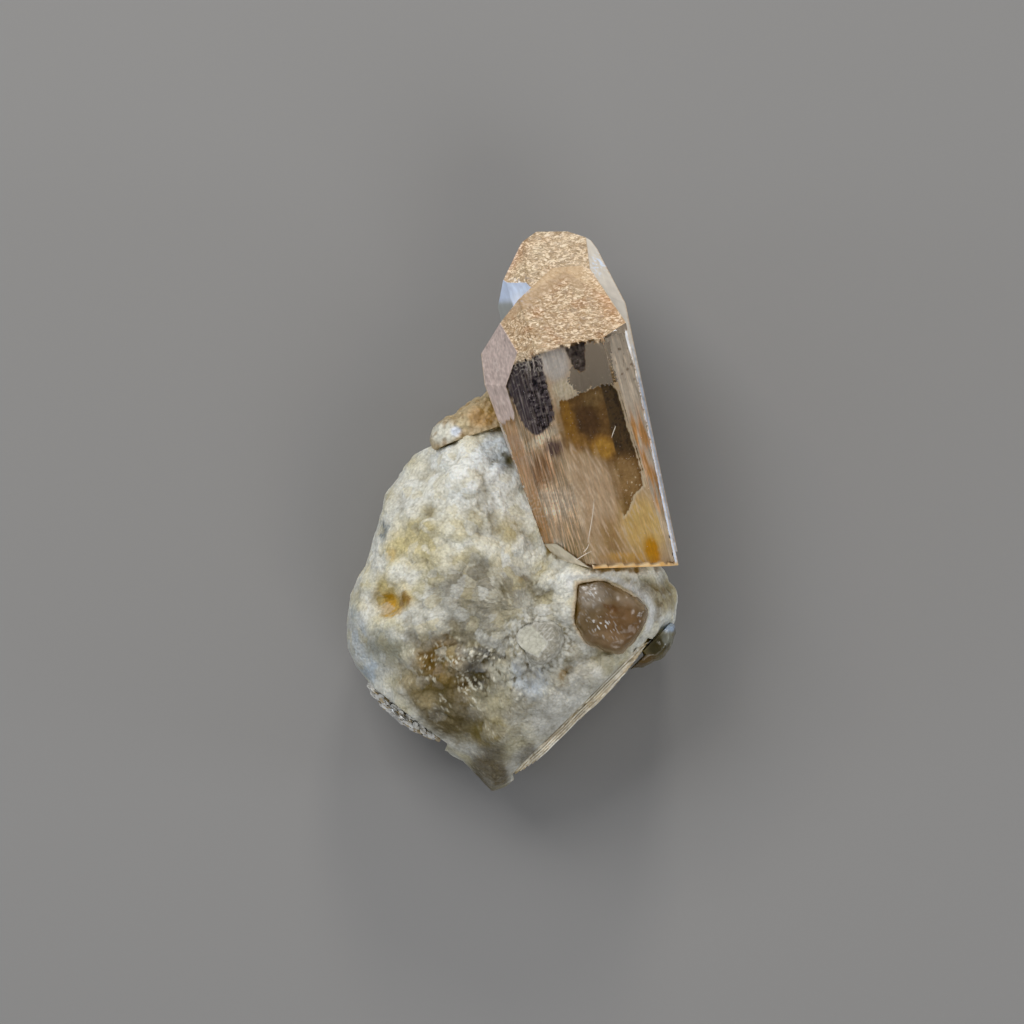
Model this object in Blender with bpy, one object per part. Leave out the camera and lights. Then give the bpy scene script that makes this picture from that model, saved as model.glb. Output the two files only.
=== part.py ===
"""Two golden topaz crystals on a lump of feldspar rock, lying on its back.

Metres, +Z up. The specimen lies on the flat broken back of the rock, with its
long way along +Y. The origin is on the surface it lies on, under the middle.
Sizes and places below are in millimetres and are scaled to metres by MM.
"""

import math

import bmesh
import bpy
import numpy as np
from mathutils import Matrix, Vector, noise

MM = 0.001
GAP = 0.3
ABOVE_AND_BELOW = (-5.0, 30.0)
COLLECTION_NAME = "topaz_crystal"
CUTTER_COLLECTION_NAME = "cutters"

# The front crystal: a prism whose four front faces show. Each point is (x, y, z).
FRONT_RIDGE = ((2.25, 16.2, 24.0), (7.95, -5.3, 21.6))
FRONT_RIGHT_EDGE = ((9.05, 17.4, 22.8), (15.55, -5.2, 20.25))
FRONT_RIM = ((11.55, 17.9, 21.4), (16.62, -5.5, 19.6))
FRONT_LEFT_EDGE = ((-0.65, 12.6, 19.75), (4.75, -4.4, 18.75))
FRONT_LEFT_CORNER = ((-2.35, 11.6, 15.6), (3.35, -3.7, 16.4))

# The rear crystal: the same habit, smaller, behind the front one and grown into it.
REAR_RIDGE = ((2.95, 21.0, 16.3), (9.3, -3.7, 13.7))
REAR_RIGHT_EDGE = ((9.3, 21.0, 15.2), (15.0, -3.7, 12.7))
REAR_RIM = ((11.75, 19.2, 14.3), (16.75, -5.0, 11.8))
REAR_LEFT_EDGE = ((-0.05, 21.0, 13.2), (6.4, -3.7, 10.6))
REAR_LEFT_CORNER = ((-1.55, 21.0, 10.2), (4.85, -3.7, 7.6))

# How the narrow prism faces run back from the outer corners, in the cross-section.
BACK_LEFT_RUN = (2.36, 0.0, -1.31)
BACK_RIGHT_RUN = (-2.0, 0.0, -4.1)
BROKEN_FOOT = ((7.95, -5.55, 21.0), (0.0, -0.985, -0.174))
CHIPPED_CORNER = ((3.25, -3.3, 16.35), (-0.70, -0.62, 0.35))

# The flat broken back that the specimen rests on is where the rock is cut off.
ROCK_MIDDLE = (0.75, -9.5)
ROCK_RIM_LATITUDE = math.radians(-32)
ROCK_BACK_BULGE = 1.4
ROCK_DETAIL = 5

# The rock's outline, anticlockwise from the right: (x, y, height of its rim).
# Past the nub, the blade and the flakes it runs wide and is cut back to a plane.
ROCK_OUTLINE = (
    (16.4, -8.0, 8.0),
    (15.8, -7.0, 6.0),
    (13.4, -3.4, 3.6),
    (10.0, 1.2, 3.4),
    (6.8, 5.4, 3.4),
    (3.4, 9.2, 4.0),
    (-1.0, 10.6, 7.0),
    (-5.0, 9.6, 8.0),
    (-8.8, 6.9, 8.4),
    (-10.9, 4.2, 8.6),
    (-12.8, 1.5, 8.8),
    (-13.7, -1.9, 9.0),
    (-14.7, -5.3, 9.2),
    (-16.2, -8.4, 9.0),
    (-16.75, -11.2, 8.8),
    (-16.6, -13.7, 8.6),
    (-15.9, -15.5, 8.4),
    (-14.6, -17.0, 8.4),
    (-13.6, -19.6, 8.0),
    (-11.2, -22.2, 8.0),
    (-7.4, -23.5, 8.0),
    (-5.0, -25.2, 7.6),
    (-3.5, -26.8, 7.0),
    (-2.05, -28.35, 6.6),
    (-0.95, -27.9, 6.6),
    (0.15, -27.1, 6.8),
    (3.0, -25.8, 7.0),
    (8.5, -21.0, 8.0),
    (13.0, -16.0, 9.0),
    (15.4, -12.8, 8.8),
    (16.4, -10.8, 8.4),
    (16.5, -9.6, 8.2),
)

# Heights of the rock's front surface, set by hand: (x, y, height).
ROCK_HEIGHTS = (
    (-4.2, 3.2, 17.2),
    (-8.4, 5.4, 13.4),
    (-1.2, 6.4, 14.4),
    (0.6, 1.4, 15.2),
    (2.7, -3.4, 16.2),
    (-5.2, -2.8, 18.4),
    (-1.2, -8.8, 19.6),
    (4.6, -7.2, 19.0),
    (7.0, -7.6, 20.2),
    (11.0, -8.6, 20.0),
    (14.6, -7.6, 17.6),
    (9.0, -13.8, 18.6),
    (5.0, -16.8, 18.2),
    (-1.2, -21.8, 16.0),
    (-2.4, -25.6, 13.0),
    (-7.2, -14.8, 17.4),
    (-11.2, -4.8, 16.4),
    (-12.2, -12.8, 16.6),
    (-14.2, -14.6, 13.6),
    (-8.0, -19.6, 15.4),
    (2.0, -12.6, 19.4),
)

# Lumps (up) and pits (down) on the front surface: (x, y, radius, height).
ROCK_LUMPS = (
    (-6.2, 4.6, 2.2, 0.7),
    (-8.6, -1.0, 1.9, 0.7),
    (-4.0, -0.2, 1.7, 0.5),
    (-10.8, -1.9, 1.5, -0.5),
    (-0.2, -2.6, 1.5, 0.6),
    (3.4, -5.2, 0.9, -0.9),
    (-6.8, -6.6, 1.8, 0.6),
    (-3.0, -5.6, 1.4, -0.5),
    (-11.4, -11.2, 1.7, 0.9),
    (-7.6, -11.4, 1.8, 0.5),
    (-8.0, -15.4, 1.5, -0.9),
    (-4.8, -17.6, 1.4, -0.6),
    (-1.4, -14.0, 1.2, -0.7),
    (-4.4, -14.6, 1.3, 0.6),
    (5.4, -15.8, 0.8, -0.8),
    (3.2, -19.2, 1.7, 0.6),
    (-3.4, -21.4, 1.5, 0.6),
    (-10.6, -18.2, 1.4, 0.7),
    (9.6, -15.6, 1.2, 0.5),
    (2.6, -9.2, 1.2, -0.4),
)

# The yellow pit at the left: steep at its right wall, open to the lower left.
PIT_PLACE = (-12.1, -9.1)
PIT_REACH = (2.2, 1.6)
PIT_DEPTH = 3.6

# Lumpy grain of the rock: (size of a lump, height).
# It is calmer by this share at the outline.
ROCK_GRAIN = ((4.8, 0.62), (2.3, 0.34), (1.1, 0.10))
RIM_CALM = 0.6

# The amber lump at the upper left grows on a plane across the rock's shoulder.
NUB_PLANE = ((-8.9, 6.15, 12.0), (-0.9, 8.9, 12.0), (-8.9, 5.1, 4.0))
NUB_OUTLINE = (
    (0.2, 8.2),
    (-0.6, 10.8),
    (-2.3, 12.35),
    (-3.2, 11.5),
    (-4.8, 10.7),
    (-5.8, 9.7),
    (-7.9, 8.55),
    (-8.25, 7.3),
    (-7.6, 5.6),
    (-3.6, 5.6),
)
NUB_MIDDLE = (-3.6, 8.4)
NUB_HEIGHTS = (5.2, 15.0)

# The mica blade stands on edge along the lower right side of the rock. Its leaves,
# from the rock outwards, are (start, end, inner face, outer face, inset all round).
BLADE_INNER_LINE = ((13.35, -12.6), (0.05, -26.0))
BLADE_NOTCH = (-1.3, 19.5)
BLADE_LEAVES = (
    (-0.4, 19.3, 0.00, 0.42, 0.0),
    (0.1, 18.5, 0.30, 0.60, 0.3),
    (3.7, 16.9, 0.50, 0.82, 0.7),
    (4.6, 9.4, 0.72, 1.02, 1.3),
)
# The blade's broken edge, as straight runs from point to point: (place, height).
BLADE_TOP_EDGE = ((0.0, 17.4), (19.3, 12.2))
BLADE_LOW_EDGE = ((0.0, 1.6), (19.3, 3.0))
BLADE_CORNERS = (
    ((-0.4, 14.2), (1.6, 17.4)),
    ((15.2, 13.6), (19.5, 8.2)),
    ((19.5, 6.4), (15.0, 2.2)),
    ((3.2, 1.4), (-0.5, 6.4)),
)

# The quartz knob on the right, outside the blade.
KNOB_OUTLINE = (
    (16.45, -11.2),
    (16.62, -12.3),
    (16.35, -13.2),
    (15.6, -14.3),
    (14.2, -15.2),
    (12.6, -15.7),
    (11.6, -15.9),
    (11.4, -15.0),
    (13.2, -12.4),
    (15.0, -10.9),
)
KNOB_MIDDLE = (14.0, -13.4)
KNOB_HEIGHTS = (5.6, 14.8)
KNOB_END = 3.3

# The smoky quartz grain under the foot of the front crystal.
SMOKY_OUTLINE = (
    (13.75, -9.85),
    (13.6, -10.6),
    (13.2, -11.9),
    (12.6, -12.7),
    (11.8, -13.6),
    (11.1, -14.3),
    (9.7, -14.3),
    (8.4, -13.8),
    (7.2, -13.3),
    (6.4, -12.2),
    (5.8, -11.2),
    (5.75, -9.8),
    (6.0, -8.4),
    (6.1, -6.75),
    (7.4, -6.5),
    (8.9, -6.45),
    (10.1, -7.0),
    (11.2, -7.55),
    (12.5, -8.3),
    (13.5, -9.3),
)
SMOKY_MIDDLE = (9.7, -10.6)
SMOKY_HEIGHTS = (14.6, 20.1)

# The clear grain with its flat cleavage face.
GRAIN_OUTLINE = (
    (5.0, -11.4),
    (5.1, -13.2),
    (3.9, -14.9),
    (2.4, -15.4),
    (1.0, -14.0),
    (0.2, -12.4),
    (0.9, -11.2),
    (2.6, -10.9),
)
GRAIN_MIDDLE = (2.7, -13.0)
GRAIN_HEIGHTS = (15.4, 19.6)
GRAIN_CLEAVAGE = ((2.0, -12.4, 19.2), (-0.12, 0.16, 0.98))

# The crust of mica flakes hangs on a plane along the lower left edge.
FLAKES_LINE = ((-14.6, -16.9), (-6.7, -22.9))
FLAKES_NOTCH = (-1.2, 10.4)
FLAKES_HEIGHTS = (2.4, 12.6)
# Each flake: (place along the line, how far out, height, radius, lean, turn).
FLAKES = (
    (1.0, 0.25, 7.4, 1.9, 12, 10),
    (2.1, 0.75, 9.0, 2.1, -14, 35),
    (3.4, 1.15, 6.6, 2.3, 10, 70),
    (4.4, 1.45, 9.3, 2.0, -9, 15),
    (5.5, 1.55, 6.9, 2.2, 14, 50),
    (6.6, 1.40, 9.0, 2.1, -12, 80),
    (7.8, 0.95, 7.0, 2.0, 8, 25),
    (8.8, 0.50, 8.6, 1.7, -10, 60),
)
FLAKE_THICKNESS = 0.9
FLAKE_SIDES = 6

COLOURS = {
    # name: (base colour, roughness, metallic)
    "topaz_crystals": ((0.74, 0.58, 0.40), 0.25, 0.0),
    "matrix": ((0.68, 0.65, 0.53), 0.75, 0.0),
    "smoky_quartz": ((0.36, 0.28, 0.19), 0.30, 0.0),
    "quartz_knob": ((0.33, 0.36, 0.30), 0.30, 0.0),
    "mica_blade": ((0.72, 0.66, 0.52), 0.45, 0.0),
    "mica_flakes": ((0.78, 0.79, 0.76), 0.30, 0.0),
    "clear_grain": ((0.72, 0.72, 0.66), 0.30, 0.0),
    "stained_nub": ((0.62, 0.46, 0.26), 0.50, 0.0),
}


def empty_the_scene():
    for obj in list(bpy.data.objects):
        bpy.data.objects.remove(obj, do_unlink=True)
    collections = []
    for name in (COLLECTION_NAME, CUTTER_COLLECTION_NAME):
        collection = bpy.data.collections.new(name)
        bpy.context.scene.collection.children.link(collection)
        collections.append(collection)
    return collections


def make_material(name):
    colour, roughness, metallic = COLOURS[name]
    material = bpy.data.materials.new(name)
    material.use_nodes = True
    shader = material.node_tree.nodes["Principled BSDF"]
    shader.inputs["Base Color"].default_value = (*colour, 1.0)
    shader.inputs["Roughness"].default_value = roughness
    shader.inputs["Metallic"].default_value = metallic
    material.diffuse_color = (*colour, 1.0)
    return material


def make_object(name, bm, collection):
    """Turn a bmesh in millimetres into an object in metres."""
    bmesh.ops.recalc_face_normals(bm, faces=bm.faces)
    bmesh.ops.scale(bm, vec=(MM, MM, MM), verts=bm.verts)
    mesh = bpy.data.meshes.new(name)
    bm.to_mesh(mesh)
    bm.free()
    obj = bpy.data.objects.new(name, mesh)
    collection.objects.link(obj)
    if name in COLOURS:
        mesh.materials.append(make_material(name))
    return obj


def make_cutter(name, bm, cutters):
    cutter = make_object(name, bm, cutters)
    cutter.hide_render = True
    cutter.display_type = "WIRE"
    return cutter


def boolean(obj, cutter, operation="DIFFERENCE"):
    modifier = obj.modifiers.new(cutter.name, "BOOLEAN")
    modifier.operation = operation
    modifier.solver = "EXACT"
    modifier.object = cutter


def plane_through(points, inside):
    """The plane through three points as (point, normal), facing away from inside."""
    a, b, c = (Vector(p) for p in points)
    normal = (b - a).cross(c - a).normalized()
    if normal.dot(Vector(inside) - a) > 0:
        normal.negate()
    return a, normal


def moved(point, step):
    return tuple(Vector(point) + Vector(step))


def cut_by_plane(bm, point, normal):
    """Cut off what lies past the plane and close the cut with one flat face."""
    geometry = bm.verts[:] + bm.edges[:] + bm.faces[:]
    result = bmesh.ops.bisect_plane(
        bm, geom=geometry, dist=1e-5, plane_co=point, plane_no=normal, clear_outer=True
    )
    edges = [e for e in result["geom_cut"] if isinstance(e, bmesh.types.BMEdge)]
    rim = [e for e in edges if e.is_boundary]
    if rim:
        bmesh.ops.holes_fill(bm, edges=rim, sides=0)


def convex_crystal(planes, middle, grow):
    """A cube around the crystal, cut by each of its face planes moved out by grow."""
    bm = bmesh.new()
    bmesh.ops.create_cube(bm, size=90.0, matrix=Matrix.Translation(middle))
    for point, normal in planes:
        cut_by_plane(bm, point + normal * grow, normal)
    return bm


def prism_planes(ridge, right_edge, rim, left_edge, left_corner, inside):
    """The eight faces of a topaz prism: four in front, and their opposites behind."""
    m_left = plane_through((*ridge, left_edge[0]), inside)
    m_right = plane_through((*ridge, right_edge[0]), inside)
    l_left = plane_through((*left_edge, left_corner[0]), inside)
    l_right = plane_through((*right_edge, rim[0]), inside)
    back_left = plane_through((*left_corner, moved(left_corner[0], BACK_LEFT_RUN)), inside)
    back_right = plane_through((*rim, moved(rim[0], BACK_RIGHT_RUN)), inside)
    # The last two lie across the middle from the ridge, parallel to the faces beside it.
    across = Vector(left_corner[0]) + Vector(rim[0]) - Vector(ridge[0])
    across.y = ridge[0][1]
    back_pair = [(across, -m_left[1]), (across, -m_right[1])]
    return [m_left, m_right, l_left, l_right, back_left, back_right, *back_pair]


def front_crystal(grow):
    inside = Vector((6.0, 8.0, 18.0))
    planes = prism_planes(
        FRONT_RIDGE, FRONT_RIGHT_EDGE, FRONT_RIM, FRONT_LEFT_EDGE, FRONT_LEFT_CORNER, inside
    )
    crest = (5.45, 24.6, 17.0)
    left_shoulder = (-1.25, 18.9, 18.75)
    left_tip = (-3.15, 15.9, 14.95)
    ends = (
        (FRONT_RIDGE[0], FRONT_RIGHT_EDGE[0], crest),
        (FRONT_RIDGE[0], (0.45, 15.5, 22.2), left_shoulder),
        ((0.45, 15.1, 22.0), (-0.65, 12.6, 19.75), left_tip),
        (left_tip, left_shoulder, (3.05, 23.6, 17.9)),
        (crest, (3.95, 24.45, 17.15), (4.6, 22.6, 13.2)),
        ((7.25, 24.6, 17.0), (10.25, 23.2, 18.0), (8.6, 21.4, 13.4)),
        ((10.35, 23.0, 18.2), (11.75, 18.0, 22.2), (11.4, 18.4, 17.0)),
    )
    planes += [plane_through(points, inside) for points in ends]
    for point, normal in (BROKEN_FOOT, CHIPPED_CORNER):
        planes.append((Vector(point), Vector(normal).normalized()))
    return convex_crystal(planes, inside, grow)


def rear_crystal(grow):
    inside = Vector((6.0, 12.0, 12.0))
    planes = prism_planes(
        REAR_RIDGE, REAR_RIGHT_EDGE, REAR_RIM, REAR_LEFT_EDGE, REAR_LEFT_CORNER, inside
    )
    crest = (4.75, 28.3, 11.0)
    left_crest = (1.55, 27.7, 11.7)
    ends = (
        (crest, (1.75, 23.4, 15.05), (7.0, 23.4, 14.9)),
        ((-1.15, 23.0, 12.9), (1.75, 23.0, 15.8), (0.85, 26.9, 12.0)),
        ((-1.45, 21.4, 11.4), (0.65, 26.7, 12.2), (-0.4, 22.4, 8.6)),
        ((0.65, 26.9, 12.1), left_crest, (1.8, 25.6, 8.4)),
        (crest, (2.85, 28.3, 11.1), (4.4, 26.4, 7.4)),
        ((6.85, 27.9, 11.3), (8.8, 26.9, 11.2), (7.2, 25.4, 7.6)),
        ((7.45, 27.3, 11.7), (7.75, 24.5, 14.0), (10.05, 24.7, 12.1)),
        ((8.8, 26.9, 11.2), (10.35, 23.6, 12.6), (8.6, 24.6, 7.2)),
    )
    planes += [plane_through(points, inside) for points in ends]
    planes.append((Vector(BROKEN_FOOT[0]), Vector(BROKEN_FOOT[1]).normalized()))
    return convex_crystal(planes, inside, grow)


def make_topaz(parts, cutters):
    """Both crystals grown together, as one solid."""
    topaz = make_object("topaz_crystals", front_crystal(0.0), parts)
    boolean(topaz, make_cutter("rear_crystal", rear_crystal(0.0), cutters), "UNION")
    return topaz


def radius_at(outline, middle, angle):
    """The outline's distance from the middle at an angle, straight between its points."""
    x = np.array([p[0] - middle[0] for p in outline])
    y = np.array([p[1] - middle[1] for p in outline])
    angles = np.arctan2(y, x)
    order = np.argsort(angles)
    radii = np.hypot(x, y)[order]
    return float(np.interp(angle, angles[order], radii, period=2 * math.pi))


def rim_height_at(angle):
    x = np.array([p[0] - ROCK_MIDDLE[0] for p in ROCK_OUTLINE])
    y = np.array([p[1] - ROCK_MIDDLE[1] for p in ROCK_OUTLINE])
    angles = np.arctan2(y, x)
    heights = np.array([p[2] for p in ROCK_OUTLINE])
    order = np.argsort(angles)
    return float(np.interp(angle, angles[order], heights[order], period=2 * math.pi))


def rock_front_height(x, y):
    """The heights set by hand, blended by distance, with the lumps and the pit."""
    places = np.array(ROCK_HEIGHTS)
    distance = np.hypot(places[:, 0] - x, places[:, 1] - y)
    weight = 1.0 / (distance + 0.8) ** 3
    height = float((weight * places[:, 2]).sum() / weight.sum())
    for lump_x, lump_y, radius, rise in ROCK_LUMPS:
        height += rise * math.exp(-((x - lump_x) ** 2 + (y - lump_y) ** 2) / radius**2)
    across = (x - PIT_PLACE[0]) / PIT_REACH[0]
    along = (y - PIT_PLACE[1]) / PIT_REACH[1]
    across *= 1.9 if across > 0 else 0.85
    height -= PIT_DEPTH * math.exp(-((across**2 + along**2) ** 1.4))
    return height


def rock_grain(point):
    """Lumps of three sizes, rounded on top and pinched between, as broken feldspar is."""
    total = 0.0
    for size, height in ROCK_GRAIN:
        total += height * (abs(noise.noise(point / size)) * 2.6 - 0.6)
    return total


def make_rock(parts, cutters):
    """A sphere whose front spreads to a hand-set surface and whose back is cut flat."""
    bm = bmesh.new()
    bmesh.ops.create_icosphere(bm, subdivisions=ROCK_DETAIL, radius=1.0)
    rim_sine = math.sin(ROCK_RIM_LATITUDE)
    calm = []
    for vertex in bm.verts:
        direction = vertex.co.normalized()
        angle = math.atan2(direction.y, direction.x)
        in_front = direction.z >= rim_sine
        if in_front:
            step = math.sqrt((1 - direction.z) / (1 - rim_sine))
        else:
            step = math.sqrt((1 + direction.z) / (1 + rim_sine))
        spread = math.sin(step * math.pi / 2)
        radius = radius_at(ROCK_OUTLINE, ROCK_MIDDLE, angle) * spread
        x = ROCK_MIDDLE[0] + radius * math.cos(angle)
        y = ROCK_MIDDLE[1] + radius * math.sin(angle)
        rim = rim_height_at(angle)
        if in_front:
            fullness = math.sqrt(max(0.0, 1 - spread**4.5))
            z = rim + (rock_front_height(x, y) - rim) * fullness
        else:
            fullness = math.sqrt(max(0.0, 1 - spread**6))
            z = rim - (rim + ROCK_BACK_BULGE) * fullness
        vertex.co = (x, y, z)
        calm.append(1 - RIM_CALM * spread**8)
    bm.normal_update()
    shifts = [v.normal * rock_grain(v.co) * keep for v, keep in zip(bm.verts, calm)]
    for vertex, shift in zip(bm.verts, shifts):
        vertex.co += shift
    cut_by_plane(bm, Vector((0, 0, 0)), Vector((0, 0, -1)))
    nub_point, nub_normal = nub_plane()
    cut_by_plane(bm, nub_point, nub_normal)
    rock = make_object("matrix", bm, parts)
    blade_notch = box_on_line(BLADE_INNER_LINE, *BLADE_NOTCH, *ABOVE_AND_BELOW, 0.0, 9.0)
    boolean(rock, make_cutter("blade_notch", blade_notch, cutters))
    flakes_notch = box_on_line(FLAKES_LINE, *FLAKES_NOTCH, *ABOVE_AND_BELOW, 0.0, 9.0)
    boolean(rock, make_cutter("flakes_notch", flakes_notch, cutters))
    boolean(rock, make_cutter("front_crystal_pocket", front_crystal(GAP), cutters))
    boolean(rock, make_cutter("rear_crystal_pocket", rear_crystal(GAP), cutters))
    boolean(rock, make_cutter("smoky_pocket", smoky_grain(GAP, True), cutters))
    boolean(rock, make_cutter("grain_pocket", clear_grain(GAP, True), cutters))
    boolean(rock, make_cutter("knob_pocket", knob(GAP), cutters))
    return rock


def upright_plane(line):
    """The upright plane over a line in the plan, facing away from the rock."""
    start, end = line
    inside = (*ROCK_MIDDLE, 10.0)
    return plane_through(((*start, 0.0), (*end, 0.0), (*end, 10.0)), inside)


def nub_plane():
    return plane_through(NUB_PLANE, (*ROCK_MIDDLE, 10.0))


def rounded_grain(outline, middle, heights, detail, grow, roughness, open_top=False):
    """A sphere spread to an outline, between two heights, with a rough skin.

    With open_top it is the pocket for such a grain: its upper half is a straight
    shaft that leaves through the surface of the rock.
    """
    low, high = heights
    waist = (low + high) / 2
    bm = bmesh.new()
    bmesh.ops.create_icosphere(bm, subdivisions=detail, radius=1.0)
    for vertex in bm.verts:
        direction = vertex.co.normalized()
        angle = math.atan2(direction.y, direction.x)
        flatness = math.hypot(direction.x, direction.y)
        power = 0.12 if open_top and direction.z > 0 else 0.45
        radius = (radius_at(outline, middle, angle) + grow) * flatness**power
        if flatness < 1e-4:
            radius = 0.0
        reach = (high - waist + grow) if direction.z > 0 else (waist - low + grow)
        if open_top and direction.z > 0:
            reach += 5.0
        x = middle[0] + radius * math.cos(angle)
        y = middle[1] + radius * math.sin(angle)
        vertex.co = (x, y, waist + reach * math.copysign(abs(direction.z) ** 0.8, direction.z))
        if roughness:
            bump = noise.noise(vertex.co / 2.0) * roughness
            vertex.co -= direction * abs(bump)
    return bm


def smoky_grain(grow, open_top=False):
    roughness = 0.0 if grow else 0.35
    return rounded_grain(
        SMOKY_OUTLINE, SMOKY_MIDDLE, SMOKY_HEIGHTS, 3, grow, roughness, open_top
    )


def clear_grain(grow, open_top=False):
    bm = rounded_grain(GRAIN_OUTLINE, GRAIN_MIDDLE, GRAIN_HEIGHTS, 2, grow, 0.0, open_top)
    if not open_top:
        cut_by_plane(bm, Vector(GRAIN_CLEAVAGE[0]), Vector(GRAIN_CLEAVAGE[1]).normalized())
    return bm


def knob(grow):
    bm = rounded_grain(KNOB_OUTLINE, KNOB_MIDDLE, KNOB_HEIGHTS, 3, grow, 0.0 if grow else 0.4)
    point, normal = upright_plane(BLADE_INNER_LINE)
    leaves_beside_it = [leaf[3] for leaf in BLADE_LEAVES if leaf[0] < KNOB_END]
    cut_by_plane(bm, point + normal * (2 * GAP + max(leaves_beside_it) - grow), -normal)
    return bm


def make_smoky_quartz(parts):
    return make_object("smoky_quartz", smoky_grain(0.0), parts)


def make_clear_grain(parts):
    return make_object("clear_grain", clear_grain(0.0), parts)


def make_quartz_knob(parts):
    return make_object("quartz_knob", knob(0.0), parts)


def make_stained_nub(parts, cutters):
    """The amber lump, set on the rock's shoulder and against the crystals."""
    bm = rounded_grain(NUB_OUTLINE, NUB_MIDDLE, NUB_HEIGHTS, 3, 0.0, 0.5)
    point, normal = nub_plane()
    cut_by_plane(bm, point + normal * GAP, -normal)
    nub = make_object("stained_nub", bm, parts)
    boolean(nub, bpy.data.objects["front_crystal_pocket"])
    boolean(nub, bpy.data.objects["rear_crystal_pocket"])
    return nub


def box_on_line(line, start, end, low, high, inner, outer):
    """A box that stands on a line in the plan, between two distances outside it."""
    first = Vector((*line[0], 0.0))
    along = (Vector((*line[1], 0.0)) - first).normalized()
    outward = upright_plane(line)[1]
    centre = first + along * ((start + end) / 2) + outward * ((inner + outer) / 2)
    centre.z = (low + high) / 2
    turn = Matrix((along, outward, Vector((0, 0, 1)))).transposed().to_4x4()
    size = Matrix.Diagonal((end - start, outer - inner, high - low, 1.0))
    bm = bmesh.new()
    bmesh.ops.create_cube(bm, size=1.0, matrix=Matrix.Translation(centre) @ turn @ size)
    return bm


def blade_leaf(start, end, inner, outer, inset):
    """One upright mica leaf, its corners cut off in the slopes of the blade's edge."""
    bm = box_on_line(BLADE_INNER_LINE, start, end, *ABOVE_AND_BELOW, GAP + inner, GAP + outer)
    first = Vector((*BLADE_INNER_LINE[0], 0.0))
    along = (Vector((*BLADE_INNER_LINE[1], 0.0)) - first).normalized()
    middle = first + along * (start + end) / 2 + Vector((0, 0, 9.0))
    outward = upright_plane(BLADE_INNER_LINE)[1]
    for (place_a, height_a), (place_b, height_b) in (
        BLADE_TOP_EDGE, BLADE_LOW_EDGE, *BLADE_CORNERS
    ):
        a = first + along * place_a + Vector((0, 0, height_a))
        b = first + along * place_b + Vector((0, 0, height_b))
        point, normal = plane_through((a, b, a + outward), middle)
        cut_by_plane(bm, point - normal * inset, normal)
    return bm


def make_mica_blade(parts, cutters):
    """A book of mica leaves on edge: each leaf a little shorter than the last."""
    blade = None
    for number, leaf in enumerate(BLADE_LEAVES):
        bm = blade_leaf(*leaf)
        if blade is None:
            blade = make_object("mica_blade", bm, parts)
        else:
            boolean(blade, make_cutter(f"blade_leaf_{number}", bm, cutters), "UNION")
    return blade


def flake(along, out, height, radius, lean, turn):
    """One six-sided mica flake, nearly parallel to the edge that it grows on."""
    first = Vector((*FLAKES_LINE[0], 0.0))
    direction = (Vector((*FLAKES_LINE[1], 0.0)) - first).normalized()
    outward = upright_plane(FLAKES_LINE)[1]
    centre = first + direction * along + outward * (out + GAP)
    centre.z = height
    upright = Matrix((direction, Vector((0, 0, 1)), outward)).transposed().to_4x4()
    spin = Matrix.Rotation(math.radians(lean), 4, "Y") @ Matrix.Rotation(math.radians(turn), 4, "Z")
    bm = bmesh.new()
    bmesh.ops.create_cone(
        bm, cap_ends=True, segments=FLAKE_SIDES, radius1=radius, radius2=radius * 0.9,
        depth=FLAKE_THICKNESS, matrix=Matrix.Translation(centre) @ upright @ spin,
    )
    return bm


def make_mica_flakes(parts, cutters):
    """A ledge against the rock, with flakes fused to it, cut off clear of the rock."""
    length = (Vector(FLAKES_LINE[1]) - Vector(FLAKES_LINE[0])).length
    low, high = FLAKES_HEIGHTS
    core = box_on_line(FLAKES_LINE, 0.7, length - 0.7, low + 1.5, high - 2.2, GAP, GAP + 0.9)
    flakes = make_object("mica_flakes", core, parts)
    for number, values in enumerate(FLAKES):
        boolean(flakes, make_cutter(f"flake_{number}", flake(*values), cutters), "UNION")
    keep_clear = box_on_line(FLAKES_LINE, -9.0, length + 9.0, -5.0, 25.0, -9.0, GAP)
    boolean(flakes, make_cutter("flakes_back", keep_clear, cutters))
    return flakes


def main():
    parts, cutters = empty_the_scene()
    make_topaz(parts, cutters)
    make_rock(parts, cutters)
    make_smoky_quartz(parts)
    make_quartz_knob(parts)
    make_mica_blade(parts, cutters)
    make_mica_flakes(parts, cutters)
    make_clear_grain(parts)
    make_stained_nub(parts, cutters)


main()
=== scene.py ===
"""Looks of a topaz specimen: two champagne crystals on a lump of feldspar rock.

Everything is worked out in millimetres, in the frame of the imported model, and is
scaled to metres when a mesh is made. The specimen lies on its flat back, and the
camera looks straight down on it, with the crystals' free ends towards +Y.
"""

import math

import bpy
import numpy as np
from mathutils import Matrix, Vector
from mathutils.geometry import delaunay_2d_cdt


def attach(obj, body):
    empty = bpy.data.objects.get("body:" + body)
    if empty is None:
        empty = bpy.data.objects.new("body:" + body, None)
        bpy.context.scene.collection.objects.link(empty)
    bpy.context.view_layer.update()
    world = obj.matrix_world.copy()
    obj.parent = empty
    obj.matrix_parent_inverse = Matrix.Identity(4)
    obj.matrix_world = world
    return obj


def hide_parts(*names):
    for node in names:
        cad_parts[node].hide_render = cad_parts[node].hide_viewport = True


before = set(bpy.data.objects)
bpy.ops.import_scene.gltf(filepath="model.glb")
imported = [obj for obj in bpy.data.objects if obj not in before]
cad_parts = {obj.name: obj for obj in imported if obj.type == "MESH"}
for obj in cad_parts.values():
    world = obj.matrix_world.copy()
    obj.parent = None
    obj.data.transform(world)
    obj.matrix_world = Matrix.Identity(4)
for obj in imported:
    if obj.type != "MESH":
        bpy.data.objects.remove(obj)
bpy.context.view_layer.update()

# The rock
# A broken lump of white feldspar, sugary to lumpy, with yellow and brown iron
# stains, a yellow pit on the left and a rough brown hollow low down. It is one
# grown piece that carries the crystals, and its back is broken off flat.

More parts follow.
